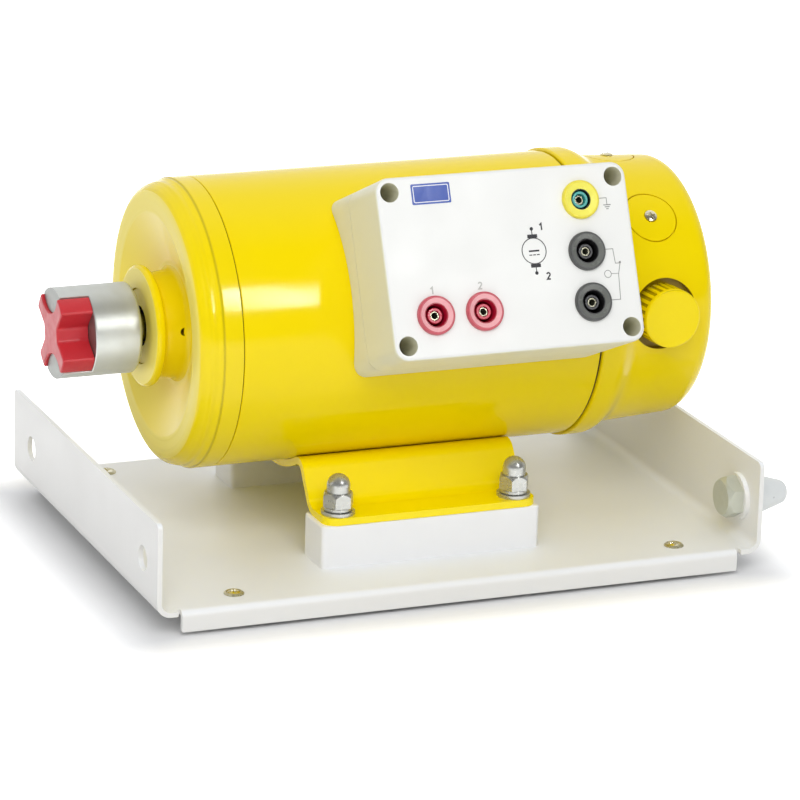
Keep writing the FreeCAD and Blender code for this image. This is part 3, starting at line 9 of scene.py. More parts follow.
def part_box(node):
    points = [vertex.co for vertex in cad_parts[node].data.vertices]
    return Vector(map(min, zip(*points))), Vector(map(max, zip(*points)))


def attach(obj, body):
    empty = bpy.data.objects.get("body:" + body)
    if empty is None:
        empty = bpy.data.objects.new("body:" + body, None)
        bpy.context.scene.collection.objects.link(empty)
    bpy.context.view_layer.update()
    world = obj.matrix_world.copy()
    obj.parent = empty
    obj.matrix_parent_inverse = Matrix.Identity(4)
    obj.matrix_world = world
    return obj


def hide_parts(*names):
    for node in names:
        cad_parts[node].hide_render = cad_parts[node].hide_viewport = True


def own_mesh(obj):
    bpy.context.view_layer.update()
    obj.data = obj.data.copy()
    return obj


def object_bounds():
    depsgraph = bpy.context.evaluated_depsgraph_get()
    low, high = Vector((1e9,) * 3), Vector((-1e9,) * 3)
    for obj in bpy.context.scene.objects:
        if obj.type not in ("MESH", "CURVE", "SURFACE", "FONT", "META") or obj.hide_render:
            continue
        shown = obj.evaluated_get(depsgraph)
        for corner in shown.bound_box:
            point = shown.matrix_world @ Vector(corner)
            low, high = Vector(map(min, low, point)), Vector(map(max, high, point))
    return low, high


# Demonstration electric motor: the looks of its pieces, around the fixed frame of solids.
# Metres. X runs along the motor shaft from the drive end, Z is up from the floor.
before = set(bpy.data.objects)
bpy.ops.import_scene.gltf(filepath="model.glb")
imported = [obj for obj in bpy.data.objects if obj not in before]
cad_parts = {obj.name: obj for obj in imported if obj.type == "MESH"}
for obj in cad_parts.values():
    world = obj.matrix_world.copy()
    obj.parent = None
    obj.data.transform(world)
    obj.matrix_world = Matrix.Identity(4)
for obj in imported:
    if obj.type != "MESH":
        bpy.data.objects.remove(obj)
cad_low, cad_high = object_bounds()
scene = bpy.context.scene
scene.view_settings.view_transform = "Standard"

# -------- camera
# A long lens stands in front of the motor, to its left and a little above it. Its turns are
# in degrees, and the focal length and the sensor are in millimetres.
CAMERA_PLACE = (-0.99995, -2.41537, 0.90460)
CAMERA_YAW = 22.5745
CAMERA_PITCH = 17.3033
CAMERA_ROLL = 1.7189
CAMERA_LENS = 195.55
CAMERA_SENSOR = 36.0

lens = bpy.data.cameras.new("camera")
lens.lens = CAMERA_LENS
lens.sensor_width = CAMERA_SENSOR
camera = bpy.data.objects.new("camera", lens)
scene.collection.objects.link(camera)
camera.matrix_world = (Matrix.Translation(CAMERA_PLACE)
                       @ Matrix.Rotation(math.radians(-CAMERA_YAW), 4, "Z")
                       @ Matrix.Rotation(math.radians(90 - CAMERA_PITCH), 4, "X")
                       @ Matrix.Rotation(math.radians(CAMERA_ROLL), 4, "Z"))
scene.camera = camera

# -------- studio
# A seamless white floor and backdrop, soft lamps that glossy paint doesn't mirror, and one
# tall narrow lamp at the front right that it does mirror.
MM = 0.001
FLOOR_SIZE = 24.0
FLOOR_DROP = 0.2 * MM
FLOOR_FADE = (-8.0 * MM, 85.0 * MM)
AIR_LIGHT = 0.55
ROOM_FADE = (-0.35, 0.25)
MIRROR_DARK = 0.12
SOFT_LAMPS = {
    # name: (direction to the lamp, distance, width, height, watts)
    "front_lamp": ((-0.25, -0.73, 0.64), 2.6, 1.7, 1.4, 30.0),
    "left_lamp": ((-0.80, -0.40, 0.44), 2.6, 1.4, 1.4, 3.5),
    "top_lamp": ((0.10, 0.10, 0.99), 2.2, 1.8, 1.8, 5.0),
    "back_lamp": ((0.30, 0.82, 0.48), 2.6, 1.8, 1.4, 13.0),
}
STRIP_LAMP = ((0.34, -0.81, 0.49), 2.0, 0.085, 0.62, 10.0)
STRIP_MIRROR_POINT = (-0.113, -0.076, 0.187)


def linear(colour):
    """An sRGB hex colour as linear red, green, blue and alpha."""
    parts = np.array([int(colour[start:start + 2], 16) for start in (0, 2, 4)]) / 255
    bent = ((parts + 0.055) / 1.055) ** 2.4
    return (*np.where(parts <= 0.04045, parts / 12.92, bent).tolist(), 1.0)


def add(tree, kind, settings=None, **links):
    """Add a node to a tree: settings fill its sockets or fields, and links join outputs, or
    the first outputs of nodes, to it."""
    node = tree.nodes.new("ShaderNode" + kind)
    for name, value in (settings or {}).items():
        if isinstance(name, int) or name in node.inputs:
            node.inputs[name].default_value = value
        else:
            setattr(node, name, value)
    for name, source in links.items():
        place = int(name[1:]) if name[0] == "_" else name.replace("_", " ")
        tree.links.new(getattr(source, "outputs", [source])[0], node.inputs[place])
    return node


def aimed_lamp(name, target, direction, distance, width, height, watts, mirrored):
    """A rectangular lamp that looks at the target from a direction. It is either mirrored
    by glossy surfaces or lights matt ones."""
    lamp = bpy.data.lights.new(name, "AREA")
    lamp.shape = "RECTANGLE"
    lamp.size = width
    lamp.size_y = height
    lamp.energy = watts
    holder = bpy.data.objects.new(name, lamp)
    scene.collection.objects.link(holder)
    away = Vector(direction).normalized()
    holder.location = Vector(target) + away * distance
    holder.rotation_euler = away.to_track_quat("Z", "Y").to_euler()
    holder.visible_glossy = mirrored
    holder.visible_diffuse = not mirrored
    holder.visible_camera = False


middle = (cad_low + cad_high) / 2
for lamp_name, lamp_settings in SOFT_LAMPS.items():
    aimed_lamp(lamp_name, middle, *lamp_settings, False)
aimed_lamp("strip_lamp", STRIP_MIRROR_POINT, *STRIP_LAMP, True)

# The air: plain light for matt surfaces, a white backdrop for the lens, and for mirrors a
# room that is white behind the motor and grey behind the lens.
air = bpy.data.worlds.new("studio_air")
air.use_nodes = True
scene.world = air
tree = air.node_tree
tree.nodes.clear()
rays = add(tree, "LightPath")
way = add(tree, "TexCoord")
split = add(tree, "SeparateXYZ", Vector=way.outputs["Generated"])
behind = add(tree, "MapRange", {"From Min": ROOM_FADE[0], "From Max": ROOM_FADE[1],
                                "To Min": MIRROR_DARK}, Value=split.outputs["Y"])
room = add(tree, "Background", {"Color": linear("FFFFFF")}, Strength=behind)
plain = add(tree, "Background", {"Color": linear("F9FBFF"), "Strength": AIR_LIGHT})
white = add(tree, "Background", {"Color": linear("FFFFFF"), "Strength": 1.0})
mirrored = add(tree, "Math", {"operation": "MAXIMUM"}, _0=rays.outputs["Is Glossy Ray"],
               _1=rays.outputs["Is Transmission Ray"])
seen = add(tree, "MixShader", _0=mirrored, _1=plain, _2=room)
shown = add(tree, "MixShader", _0=rays.outputs["Is Camera Ray"], _1=seen, _2=white)
add(tree, "OutputWorld", Surface=shown)

# The floor: matt paper round the tray that takes the shadow, and is painted a darker grey
# near the tray as a painted shadow. Away from the tray it glows more and more for the lens
# and for mirrors, so that it meets the backdrop without an edge.
bpy.ops.mesh.primitive_grid_add(x_subdivisions=2, y_subdivisions=2, size=FLOOR_SIZE,
                                location=(0, 0, -FLOOR_DROP))
floor = bpy.context.object
floor.name = "paper_floor"
paper = bpy.data.materials.new("white_paper")
paper.use_nodes = True
tree = paper.node_tree
tree.nodes.clear()
rays = add(tree, "LightPath")
place = add(tree, "TexCoord")
tray_low, tray_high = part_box("base_tray")
tray_middle = (tray_low + tray_high) / 2
tray_half = (tray_high - tray_low) / 2
beside = place.outputs["Object"]
for operation, operand in (("SUBTRACT", tuple(tray_middle)), ("ABSOLUTE", (0, 0, 0)),
                           ("SUBTRACT", (tray_half.x, tray_half.y, 1.0)),
                           ("MAXIMUM", (0, 0, 0))):
    beside = add(tree, "VectorMath", {"operation": operation, 1: operand}, _0=beside)
reach = add(tree, "VectorMath", {"operation": "LENGTH"}, _0=beside)
glow_past_painted_shadow = add(tree, "MapRange", {"interpolation_type": "SMOOTHSTEP", "From Min": FLOOR_FADE[0],
                              "From Max": FLOOR_FADE[1]}, Value=reach.outputs["Value"])
# Painted shadow: the paper's tone is darker near the tray.
tone = add(tree, "MixRGB", {"Color1": linear("E6E6E6"), "Color2": linear("F6F6F6")}, Fac=glow_past_painted_shadow)
matt = add(tree, "BsdfDiffuse", Color=tone)
lit = add(tree, "Emission", {"Color": linear("FFFFFF")}, Strength=glow_past_painted_shadow)
both = add(tree, "AddShader", _0=matt, _1=lit)
direct = rays.outputs["Is Camera Ray"]
for ray in ("Is Glossy Ray", "Is Transmission Ray"):
    direct = add(tree, "Math", {"operation": "MAXIMUM"}, _0=direct, _1=rays.outputs[ray])
chosen = add(tree, "MixShader", _0=direct, _1=matt, _2=both)
add(tree, "OutputMaterial", Surface=chosen)
floor.data.materials.append(paper)

# -------- tray
# Folded sheet steel with two upturned ends and a lip along each side, powder-coated in a
# light grey. It is one piece with its bolt holes, so the solid stays and takes the coating.
UNIT_NOISE_MM = 1000.0
NOISE_SPAN = (0.3, 0.7)
UPRIGHT_FACING = (0.8, 0.2)


def new_finish(name, tones, patch_mm, gloss, smear_mm, grain_mm, depth_mm,
               stretch=(1.0, 1.0, 1.0), **sockets):
    """A finish whose colour drifts between two tones over patches, whose roughness drifts
    between two values over smears, and whose relief is noise of a grain size and a depth.

    The pattern is noise on Object coordinates, so its scale is 1000 / millimetres.
    """
    finish = bpy.data.materials.new(name)
    finish.use_nodes = True
    tree = finish.node_tree
    shader = tree.nodes["Principled BSDF"]
    for socket, value in sockets.items():
        shader.inputs[socket.replace("_", " ")].default_value = value
    place = add(tree, "TexCoord")
    laid = add(tree, "Mapping", {"Scale": stretch}, Vector=place.outputs["Object"])
    patches = add(tree, "TexNoise", {"Scale": UNIT_NOISE_MM / patch_mm, "Detail": 3.0},
                  Vector=laid)
    tone = add(tree, "MixRGB", {"Color1": linear(tones[0]), "Color2": linear(tones[1])},
               Fac=patches)
    smears = add(tree, "TexNoise", {"Scale": UNIT_NOISE_MM / smear_mm, "Detail": 2.0}, Vector=laid)
    rough = add(tree, "MapRange", {"From Min": NOISE_SPAN[0], "From Max": NOISE_SPAN[1],
                                   "To Min": gloss[0], "To Max": gloss[1]},
                Value=smears)
    grains = add(tree, "TexNoise", {"Scale": UNIT_NOISE_MM / grain_mm, "Detail": 2.0}, Vector=laid)
    relief = add(tree, "Bump", {"Strength": 1.0, "Distance": depth_mm * MM}, Height=grains)
    tree.links.new(tone.outputs[0], shader.inputs["Base Color"])
    tree.links.new(rough.outputs[0], shader.inputs["Roughness"])
    tree.links.new(relief.outputs[0], shader.inputs["Normal"])
    return finish


def dress(finish, *nodes):
    """Give a finish to solids of the frame that are shown as they are."""
    for name in nodes:
        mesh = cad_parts[name].data
        mesh.materials.clear()
        mesh.materials.append(finish)


def overpaint(tree, mask, tone):
    """Lay a tone over a finish's own colour where a mask is 1, and return the mix."""
    base = tree.nodes["Principled BSDF"].inputs["Base Color"]
    laid = add(tree, "MixRGB", {"Color2": linear(tone)}, Fac=mask,
               Color1=base.links[0].from_socket)
    tree.links.new(laid.outputs[0], base)
    return laid


# Powder coat gives a satin grey with a faint orange-peel. The upright faces are painted a
# shade darker and warmer than the faces that look up, as painted shade.
tray_coat = new_finish("powder_coated_steel", ("F1F3F5", "ECEEF0"), 60.0, (0.34, 0.46), 25.0,
                       1.6, 0.006, Specular_IOR_Level=0.4)
tree = tray_coat.node_tree
place = add(tree, "TexCoord")
split = add(tree, "SeparateXYZ", Vector=place.outputs["Normal"])
upright_painted_shade = add(tree, "MapRange", {"From Min": UPRIGHT_FACING[0], "From Max": UPRIGHT_FACING[1]},
              Value=split.outputs["Z"])
# Painted shade: a darker, warmer tone on the upright faces.
overpaint(tree, upright_painted_shade, "EAE9E5")
dress(tray_coat, "base_tray")

# -------- feet
# Four turned rubber feet under the tray. Each is held by a bright screw from above, whose
# domed head sits in a yellow-passivated cup washer. The cup's sizes are millimetres.
SHARP_ANGLE = 32.0
SCREW_GRID = 28
SCREW_SIDES = 72
CUP_RADIUS = 6.2
CUP_HEIGHT = 1.5
CUP_LAND = 4.5
DOME_RADIUS = 4.0 * MM
DOME_HEIGHT = 1.9 * MM
DOME_DROP = 0.45
RECESS_WIDTH = 1.3 * MM
RECESS_REACH = 0.68
FOOT_RECESS_DEPTH = 1.2 * MM


def piece(name, grids, finish, body="base", ring=False):
    """A piece from grids of points P[row, column] that close across their columns, and in a
    ring along their rows too.

    Each cell of a grid is one face. Points that meet, as at a pole, are merged, the faces are
    turned outwards, and edges sharper than an angle stay crisp.
    """
    points = []
    faces = []
    first = 0
    for grid in grids:
        rows, columns = grid.shape[:2]
        number = first + np.arange(rows * columns).reshape(rows, columns)
        number = np.concatenate([number, number[:, :1]], axis=1)
        if ring:
            number = np.concatenate([number, number[:1]], axis=0)
        cells = np.stack([number[:-1, :-1], number[:-1, 1:], number[1:, 1:], number[1:, :-1]],
                         axis=-1)
        points.append(grid.reshape(-1, 3))
        faces.append(cells.reshape(-1, 4))
        first += rows * columns
    mesh = bpy.data.meshes.new(name)
    mesh.from_pydata(np.concatenate(points).tolist(), [], np.concatenate(faces).tolist())
    work = bmesh.new()
    work.from_mesh(mesh)
    bmesh.ops.remove_doubles(work, verts=work.verts, dist=0.001 * MM)
    bmesh.ops.dissolve_degenerate(work, edges=work.edges, dist=0.0001 * MM)
    bmesh.ops.recalc_face_normals(work, faces=work.faces)
    work.to_mesh(mesh)
    work.free()
    mesh.shade_smooth()
    mesh.set_sharp_from_angle(angle=math.radians(SHARP_ANGLE))
    mesh.materials.append(finish)
    made = bpy.data.objects.new(name, mesh)
    scene.collection.objects.link(made)
    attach(made, body)
    return made


def eased(corners, closed=False, steps=6):
    """An outline of (along, radius, rounding) corners: each rounded corner becomes the arc
    that touches both of its runs, with one more point on each run just beyond the arc, so
    that the long runs shade flat."""
    found = []
    count = len(corners)
    for index, (a, b, rounding) in enumerate(corners):
        here = np.array([a, b], float)
        at_end = index in (0, count - 1) and not closed
        if rounding == 0 or at_end:
            found.append(here[None])
            continue
        back = np.array(corners[index - 1][:2]) - here
        ahead = np.array(corners[(index + 1) % count][:2]) - here
        back /= np.linalg.norm(back)
        ahead /= np.linalg.norm(ahead)
        half = math.acos(np.clip(back @ ahead, -1, 1)) / 2
        centre = here + (back + ahead) / np.linalg.norm(back + ahead) * rounding / math.sin(half)
        from_angle = here + back * rounding / math.tan(half) - centre
        to_angle = here + ahead * rounding / math.tan(half) - centre
        part = np.linspace(0, 1, steps + 1)[:, None]
        spread = math.pi - 2 * half
        arc = (np.sin((1 - part) * spread) * from_angle + np.sin(part * spread) * to_angle)
        beyond = rounding / math.tan(half) + 0.12 * rounding
        found.append((here + back * beyond)[None])
        found.append(centre + arc / math.sin(spread))
        found.append((here + ahead * beyond)[None])
    return np.concatenate(found)


def across(direction):
    """A direction as a unit vector, and two more that are square to it and to each other."""
    direction = np.array(direction, float)
    direction /= np.linalg.norm(direction)
    hint = np.array([0.0, 0.0, 1.0]) if abs(direction[2]) < 0.9 else np.array([0.0, 1.0, 0.0])
    side = np.cross(hint, direction)
    side /= np.linalg.norm(side)
    return direction, side, np.cross(direction, side)


def turned(outline, origin, direction, sides=96):
    """Points origin + a * direction + r * (cos t * side + sin t * up) for each (a, r) of an
    outline and each angle t round the turn."""
    direction, side, up = across(direction)
    angle = np.linspace(0, 2 * math.pi, sides, endpoint=False)
    ring = np.cos(angle)[:, None] * side + np.sin(angle)[:, None] * up
    return (np.array(origin) + outline[:, 0, None, None] * direction
            + outline[:, 1, None, None] * ring[None])


def screw_head(origin, direction, radius, height, recess_depth, turn):
    """A domed head with a cross recess: over a polar grid (r, t) the height is
    height * (1 - DOME_DROP (r / radius)^2) less the depth where the point is in the recess."""
    r = np.linspace(0, radius, SCREW_GRID)[:, None]
    t = np.linspace(0, 2 * math.pi, SCREW_SIDES, endpoint=False)[None] + turn
    x = r * np.cos(t)
    y = r * np.sin(t)
    soft = RECESS_WIDTH * 0.3
    bars = []
    for along, wide in ((x, y), (y, x)):
        inside = np.clip((RECESS_WIDTH / 2 - np.abs(wide)) / soft, 0, 1)
        bars.append(inside * np.clip((radius * RECESS_REACH - np.abs(along)) / soft, 0, 1))
    z = height * (1 - DOME_DROP * (r / radius) ** 2) - recess_depth * np.maximum(*bars)
    rows = np.stack([x, y, z], axis=-1)
    foot = rows[-1:] * (1, 1, 0)
    direction, side, up = across(direction)
    return (np.array(origin)
            + np.concatenate([rows, foot, 0 * foot]) @ np.array([side, up, direction]))


def node_points(node):
    """The points (x, y, z) of a solid of the frame."""
    return np.array([v.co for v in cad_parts[node].data.vertices])


def solid_places(node):
    """Middles (x, y) of a node's four equal solids, which stand on a two by two pattern: the
    points in each quarter of the node's box are one solid's."""
    low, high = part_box(node)
    points = node_points(node)
    left, front = (points < (np.array(low) + np.array(high)) / 2).T[:2]
    found = []
    for on_left in (True, False):
        for in_front in (True, False):
            group = points[(left == on_left) & (front == in_front)]
            found.append((group.min(0)[:2] + group.max(0)[:2]) / 2)
    return found


# Moulded rubber is nearly black, matt and finely grained.
dress(new_finish("moulded_black_rubber", ("222222", "1A1A1B"), 8.0, (0.62, 0.78), 5.0, 0.9,
                 0.02, Specular_IOR_Level=0.35), "rubber_feet")

# Yellow passivation leaves a brassy film on the cup, and the screw in it is bright zinc.
yellow_passivated = new_finish("yellow_passivated_steel", ("D3CEB2", "A8A17E"), 2.5,
                               (0.24, 0.42), 1.5, 0.7, 0.01, Metallic=0.8)
bright_screw = new_finish("bright_zinc_screw", ("F2EEDC", "D8D2B4"), 2.0, (0.22, 0.36), 1.5,
                          0.7, 0.008, Metallic=1.0)
plate_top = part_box("riser_front")[0].z
cup = eased([(0, CUP_RADIUS, 0), (0.5, CUP_RADIUS, 0.2), (CUP_HEIGHT, CUP_LAND + 0.4, 0.5),
             (CUP_HEIGHT - 0.5, CUP_LAND - 0.7, 0.2), (0.2, CUP_LAND - 1.0, 0),
             (0.0, CUP_LAND - 1.0, 0)], closed=True) * MM
cups = []
heads = []
for number, (x, y) in enumerate(solid_places("foot_screws")):
    seat = (x, y, plate_top)
    cups.append(turned(cup, seat, (0, 0, 1)))
    heads.append(screw_head(seat, (0, 0, 1), DOME_RADIUS, DOME_HEIGHT, FOOT_RECESS_DEPTH,
                            0.5 + number))
piece("foot_screw_cups", cups, yellow_passivated, ring=True)
foot_heads = piece("foot_screw_heads", heads, bright_screw)
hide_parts("foot_screws")

# -------- docking hardware
# Two dull zinc hexagon bolts on coated washers inside the right flange, and the sprayed
# cones outside it that find the holes of the next unit. Each cone's tommy hole is a dark
# spot painted as the hole's shade.
TOMMY_HOLE_RADIUS = 0.9 * MM
TOMMY_HOLE_ALONG = 0.55
TOMMY_HOLE_ACROSS = 0.62
dress(new_finish("dull_zinc_hexagon", ("C8CABC", "BCBEAF"), 6.0, (0.40, 0.52), 4.0, 0.9, 0.01,
                 Metallic=0.35), "docking_bolts")
dress(tray_coat, "docking_washers")

# The hole is a dark round spot of painted shade, a set distance from each cone's front side.
cone_paint = new_finish("sprayed_docking_cone", ("E3E6E5", "DCDFDE"), 12.0, (0.34, 0.46), 6.0,
                        1.2, 0.008, Specular_IOR_Level=0.4)
cone_low, cone_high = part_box("docking_cones")
cone_radius = (cone_high.z - cone_low.z) / 2
tree = cone_paint.node_tree
place = add(tree, "TexCoord")
for cone_y in (cone_low.y + cone_radius, cone_high.y - cone_radius):
    spot = (cone_low.x + (cone_high.x - cone_low.x) * TOMMY_HOLE_ALONG,
            cone_y - cone_radius * TOMMY_HOLE_ACROSS, cone_low.z + cone_radius)
    away = add(tree, "VectorMath", {"operation": "DISTANCE", 1: spot}, _0=place.outputs["Object"])
    hole_painted_shade = add(tree, "MapRange", {"From Min": TOMMY_HOLE_RADIUS * 1.5,
                                  "From Max": TOMMY_HOLE_RADIUS}, Value=away.outputs["Value"])
    overpaint(tree, hole_painted_shade, "4A4C4A")
dress(cone_paint, "docking_cones")

# -------- riser blocks
# Two solid blocks that lift the cradle off the tray, with the cradle's bolts through them.
# They are sprayed in a cooler and lighter grey than the tray.
dress(new_finish("white_sprayed_block", ("F4F4F4", "EEEEEE"), 40.0, (0.38, 0.5), 20.0, 1.2,
                 0.008, Specular_IOR_Level=0.4), "riser_front", "riser_rear")

# -------- cradle
# Pressed steel saddle under the motor with a flange on each riser, sprayed with the motor in
# a high-gloss yellow enamel. Its tone is painted lighter than the motor's, as painted light
# that makes up for the motor's shade over it.
ENAMEL_GLOSS = 0.17
motor_enamel = new_finish("yellow_gloss_enamel", ("F5DA00", "F1D500"), 90.0, (0.11, 0.16),
                          45.0, 5.0, 0.010, Specular_IOR_Level=ENAMEL_GLOSS)
dress(new_finish("yellow_gloss_enamel_painted_lighter", ("FFE800", "FCE300"), 90.0, (0.13, 0.18), 40.0, 4.0,
                 0.014, Specular_IOR_Level=0.3), "motor_cradle")

# -------- cradle bolts
# Four bolts come up through tray, riser and cradle, and each holds a flat washer, a split
# lock washer and a dome nut, all barrel-plated in satin zinc.
LOCK_TURN_GAP = 9.0
LOCK_TURN = 40.0
LOCK_STEPS = 72
LOCK_INNER = 5.15 * MM
LOCK_OUTER = 8.7 * MM
LOCK_CORNER = 0.35 * MM
LOCK_THICKNESS = 0.86
zinc = new_finish("satin_zinc_plated_steel", ("C2C3BF", "B0B1AD"), 5.0, (0.24, 0.34), 3.0, 0.8,
                  0.008, Metallic=0.75)


def swept(path, section, side, up):
    """A section of (a, b) points carried along a path: P = path + a * side + b * up, with
    both ends drawn in to the path, so that they close."""
    body = (path[:, None] + section[None, :, 0, None] * side[:, None]
            + section[None, :, 1, None] * up[:, None])
    shut = np.repeat(path[[0, -1], None], len(section), axis=1)
    return np.concatenate([shut[:1], body, shut[1:]])


def spring_washer(centre, low, high):
    """A split ring: a square section carried round one turn less a gap, rising by what its
    thickness leaves of the height between low and high."""
    angle = np.radians(np.linspace(LOCK_TURN_GAP, 360 - LOCK_TURN_GAP, LOCK_STEPS) + LOCK_TURN)
    out = np.stack([np.cos(angle), np.sin(angle), 0 * angle], axis=-1)
    thick = (high - low) * LOCK_THICKNESS
    path = out * (LOCK_INNER + LOCK_OUTER) / 2 + (*centre, 0)
    path[:, 2] = np.linspace(low + thick / 2, high - thick / 2, LOCK_STEPS)
    half = (LOCK_OUTER - LOCK_INNER) / 2
    section = eased([(a * half, b * thick / 2, LOCK_CORNER)
                     for a, b in ((1, 1), (-1, 1), (-1, -1), (1, -1))], True, 3)
    return swept(path, section, out, np.tile([0.0, 0.0, 1.0], (LOCK_STEPS, 1)))


dress(zinc, "cradle_bolts", "cradle_washers", "cradle_dome_nuts")
lock_low, lock_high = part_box("cradle_lock_washers")
rings = [spring_washer(place, lock_low.z, lock_high.z)
         for place in solid_places("cradle_lock_washers")]
lock_rings = piece("split_lock_washers", rings, zinc)
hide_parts("cradle_lock_washers")

# -------- motor case
# Drive end shield, rolled tube and cast rear cover, painted together. The tube's ends are
# eased, so a thin dark seam shows where it meets the other two.
DRIVE_SEAM = 0.70 * MM
REAR_SEAM = 1.20 * MM
SEAM_EASE = 0.55 * MM
SEAM_DEPTH = 1.1 * MM
BEAD_HEIGHT = 1.5 * MM
TUBE_WALL = 6.0 * MM
tube_low, tube_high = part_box("yoke_tube")
axis_y = (tube_low.y + tube_high.y) / 2
axis_z = (tube_low.z + tube_high.z) / 2
tube_radius = (tube_high.z - tube_low.z) / 2
axis_line = np.array([0.0, axis_y, axis_z])
ALONG = (1.0, 0.0, 0.0)

dress(motor_enamel, "upper_cover_plate", "top_cover_plate")

# The shield is a casting: two low ridges run round its shoulder, and a crease beside the
# skirt has a darker line painted along it as painted shade. Faces square to the shaft have a
# less glossy coat, and a paler tone painted on them as a painted reflection of the pale
# surroundings.
SHOULDER_FROM = 72.0 * MM
SHOULDER_FADE = 5.0 * MM
SHOULDER_RIDGES = (11.2 * MM, 18.2 * MM)
RIDGE_REACH = 2.6 * MM
RIDGE_HEIGHT = 0.55 * MM
CREASE_ALONG = 24.2 * MM
CREASE_REACH = 1.1 * MM
CREASE_DEPTH = 0.35 * MM
CREASE_SHADE_STRENGTH = 0.6
DRY_ROUGHNESS = 0.44
DRIVE_END_FACING = (-0.88, -0.99)
shield_enamel = new_finish("yellow_sprayed_casting", ("F4DA00", "EFD400"), 90.0, (0.13, 0.18),
                           40.0, 4.0, 0.014, Specular_IOR_Level=0.26)


def drive_side_faces(tree):
    """A node whose output is 1 on faces that look along the shaft to the drive end."""
    place = add(tree, "TexCoord")
    split = add(tree, "SeparateXYZ", Vector=place.outputs["Normal"])
    return add(tree, "MapRange", {"interpolation_type": "SMOOTHSTEP",
                                  "From Min": DRIVE_END_FACING[0], "From Max": DRIVE_END_FACING[1]},
               Value=split.outputs["X"])


def shaft_place(tree):
    """Two outputs: a point's place along the shaft, and its distance from the axis."""
    place = add(tree, "TexCoord")
    split = add(tree, "SeparateXYZ", Vector=place.outputs["Object"])
    from_axis = add(tree, "VectorMath", {"operation": "MULTIPLY_ADD", 1: (0, 1, 1),
                                         2: (0, -axis_y, -axis_z)}, _0=place.outputs["Object"])
    radial = add(tree, "VectorMath", {"operation": "LENGTH"}, _0=from_axis)
    return split.outputs["X"], radial.outputs["Value"]


tree = shield_enamel.node_tree
shader = tree.nodes["Principled BSDF"]
along_shaft, off_axis = shaft_place(tree)
shoulder = add(tree, "MapRange", {"From Min": SHOULDER_FROM,
                                  "From Max": SHOULDER_FROM + SHOULDER_FADE}, Value=off_axis)
shield_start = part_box("drive_end_shield")[0].x
relief = shader.inputs["Normal"].links[0].from_node
for along, reach, height in ([(ridge, RIDGE_REACH, RIDGE_HEIGHT) for ridge in SHOULDER_RIDGES]
                             + [(CREASE_ALONG, CREASE_REACH, -CREASE_DEPTH)]):
    past = add(tree, "Math", {"operation": "SUBTRACT", 1: shield_start + along}, _0=along_shaft)
    away = add(tree, "Math", {"operation": "ABSOLUTE"}, _0=past)
    near = add(tree, "MapRange", {"interpolation_type": "SMOOTHSTEP", "From Min": reach,
                                  "From Max": 0.0}, Value=away)
    band = add(tree, "Math", {"operation": "MULTIPLY"}, _0=near, _1=shoulder)
    relief = add(tree, "Bump", {"Strength": 1.0, "Distance": abs(height), "invert": height < 0},
                 Height=band, Normal=relief)
tree.links.new(relief.outputs[0], shader.inputs["Normal"])
# Painted shade: a darker line of colour along the crease.
crease_painted_shade = add(tree, "Math", {"operation": "MULTIPLY", 1: CREASE_SHADE_STRENGTH}, _0=band)
overpaint(tree, crease_painted_shade, "A89400")
# Painted reflection: a paler tone on the faces that look to the drive end.
pale_sheen_faces = drive_side_faces(tree)
overpaint(tree, pale_sheen_faces, "F6E366")
gloss = shader.inputs["Roughness"].links[0].from_node
duller = add(tree, "Mix", {"B": DRY_ROUGHNESS}, Factor=pale_sheen_faces, A=gloss)
tree.links.new(duller.outputs[0], shader.inputs["Roughness"])
dress(shield_enamel, "drive_end_shield")
tube_start = tube_low.x + DRIVE_SEAM
tube_end = tube_high.x - REAR_SEAM
bore = tube_radius - TUBE_WALL
tube_outline = eased([(tube_start, bore, 0), (tube_start, tube_radius, SEAM_EASE),
                      (tube_end, tube_radius, SEAM_EASE), (tube_end, bore, 0)], True, 5)
tube = piece("rolled_tube", [turned(tube_outline, axis_line, ALONG, 256)], motor_enamel,
             ring=True)
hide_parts("yoke_tube")

# Joint compound: a dark soft bead at the bottom of each seam.
joint_compound = new_finish("dark_joint_compound", ("2C270A", "1F1B06"), 6.0, (0.6, 0.8), 4.0,
                            1.0, 0.01)
bead_top = tube_radius - SEAM_DEPTH
bead_foot = bead_top - BEAD_HEIGHT
beads = []
for seam_start, seam_end in ((tube_low.x, tube_start), (tube_end, tube_high.x)):
    bead = np.array([(seam_start, bead_foot), (seam_start, bead_top), (seam_end, bead_top),
                     (seam_end, bead_foot)])
    beads.append(turned(bead, axis_line, ALONG, 192))
piece("joint_beads", beads, joint_compound, ring=True)

# -------- cover plates' screws
# A domed screw with a cross recess holds each of the two round plates, in its middle. It is
# of bright zinc-plated steel and stands a little proud of the plate.
PLATE_ANGLES = (46.5, 97.0)
PLATE_SCREW_RADIUS = 3.9 * MM
PLATE_SCREW_HEIGHT = 2.2 * MM
PLATE_RECESS_DEPTH = 1.3 * MM


def outward(angle):
    """The direction away from the motor axis at an angle up from the front."""
    turn = math.radians(angle)
    return np.array([0.0, -math.cos(turn), math.sin(turn)])


screw_low, screw_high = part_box("cover_plate_screws")
station_x = (screw_low.x + screw_high.x) / 2
screw_top = (screw_high.z - axis_z) / math.sin(math.radians(PLATE_ANGLES[1]))
plate_seat = screw_top - PLATE_SCREW_HEIGHT
plate_heads = []
for angle in PLATE_ANGLES:
    out = outward(angle)
    seat = axis_line + np.array([station_x, 0, 0]) + out * plate_seat
    plate_heads.append(screw_head(seat, out, PLATE_SCREW_RADIUS, PLATE_SCREW_HEIGHT,
                                  PLATE_RECESS_DEPTH, 0.6))
plate_screws = piece("plate_screw_heads", plate_heads, bright_screw)
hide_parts("cover_plate_screws")

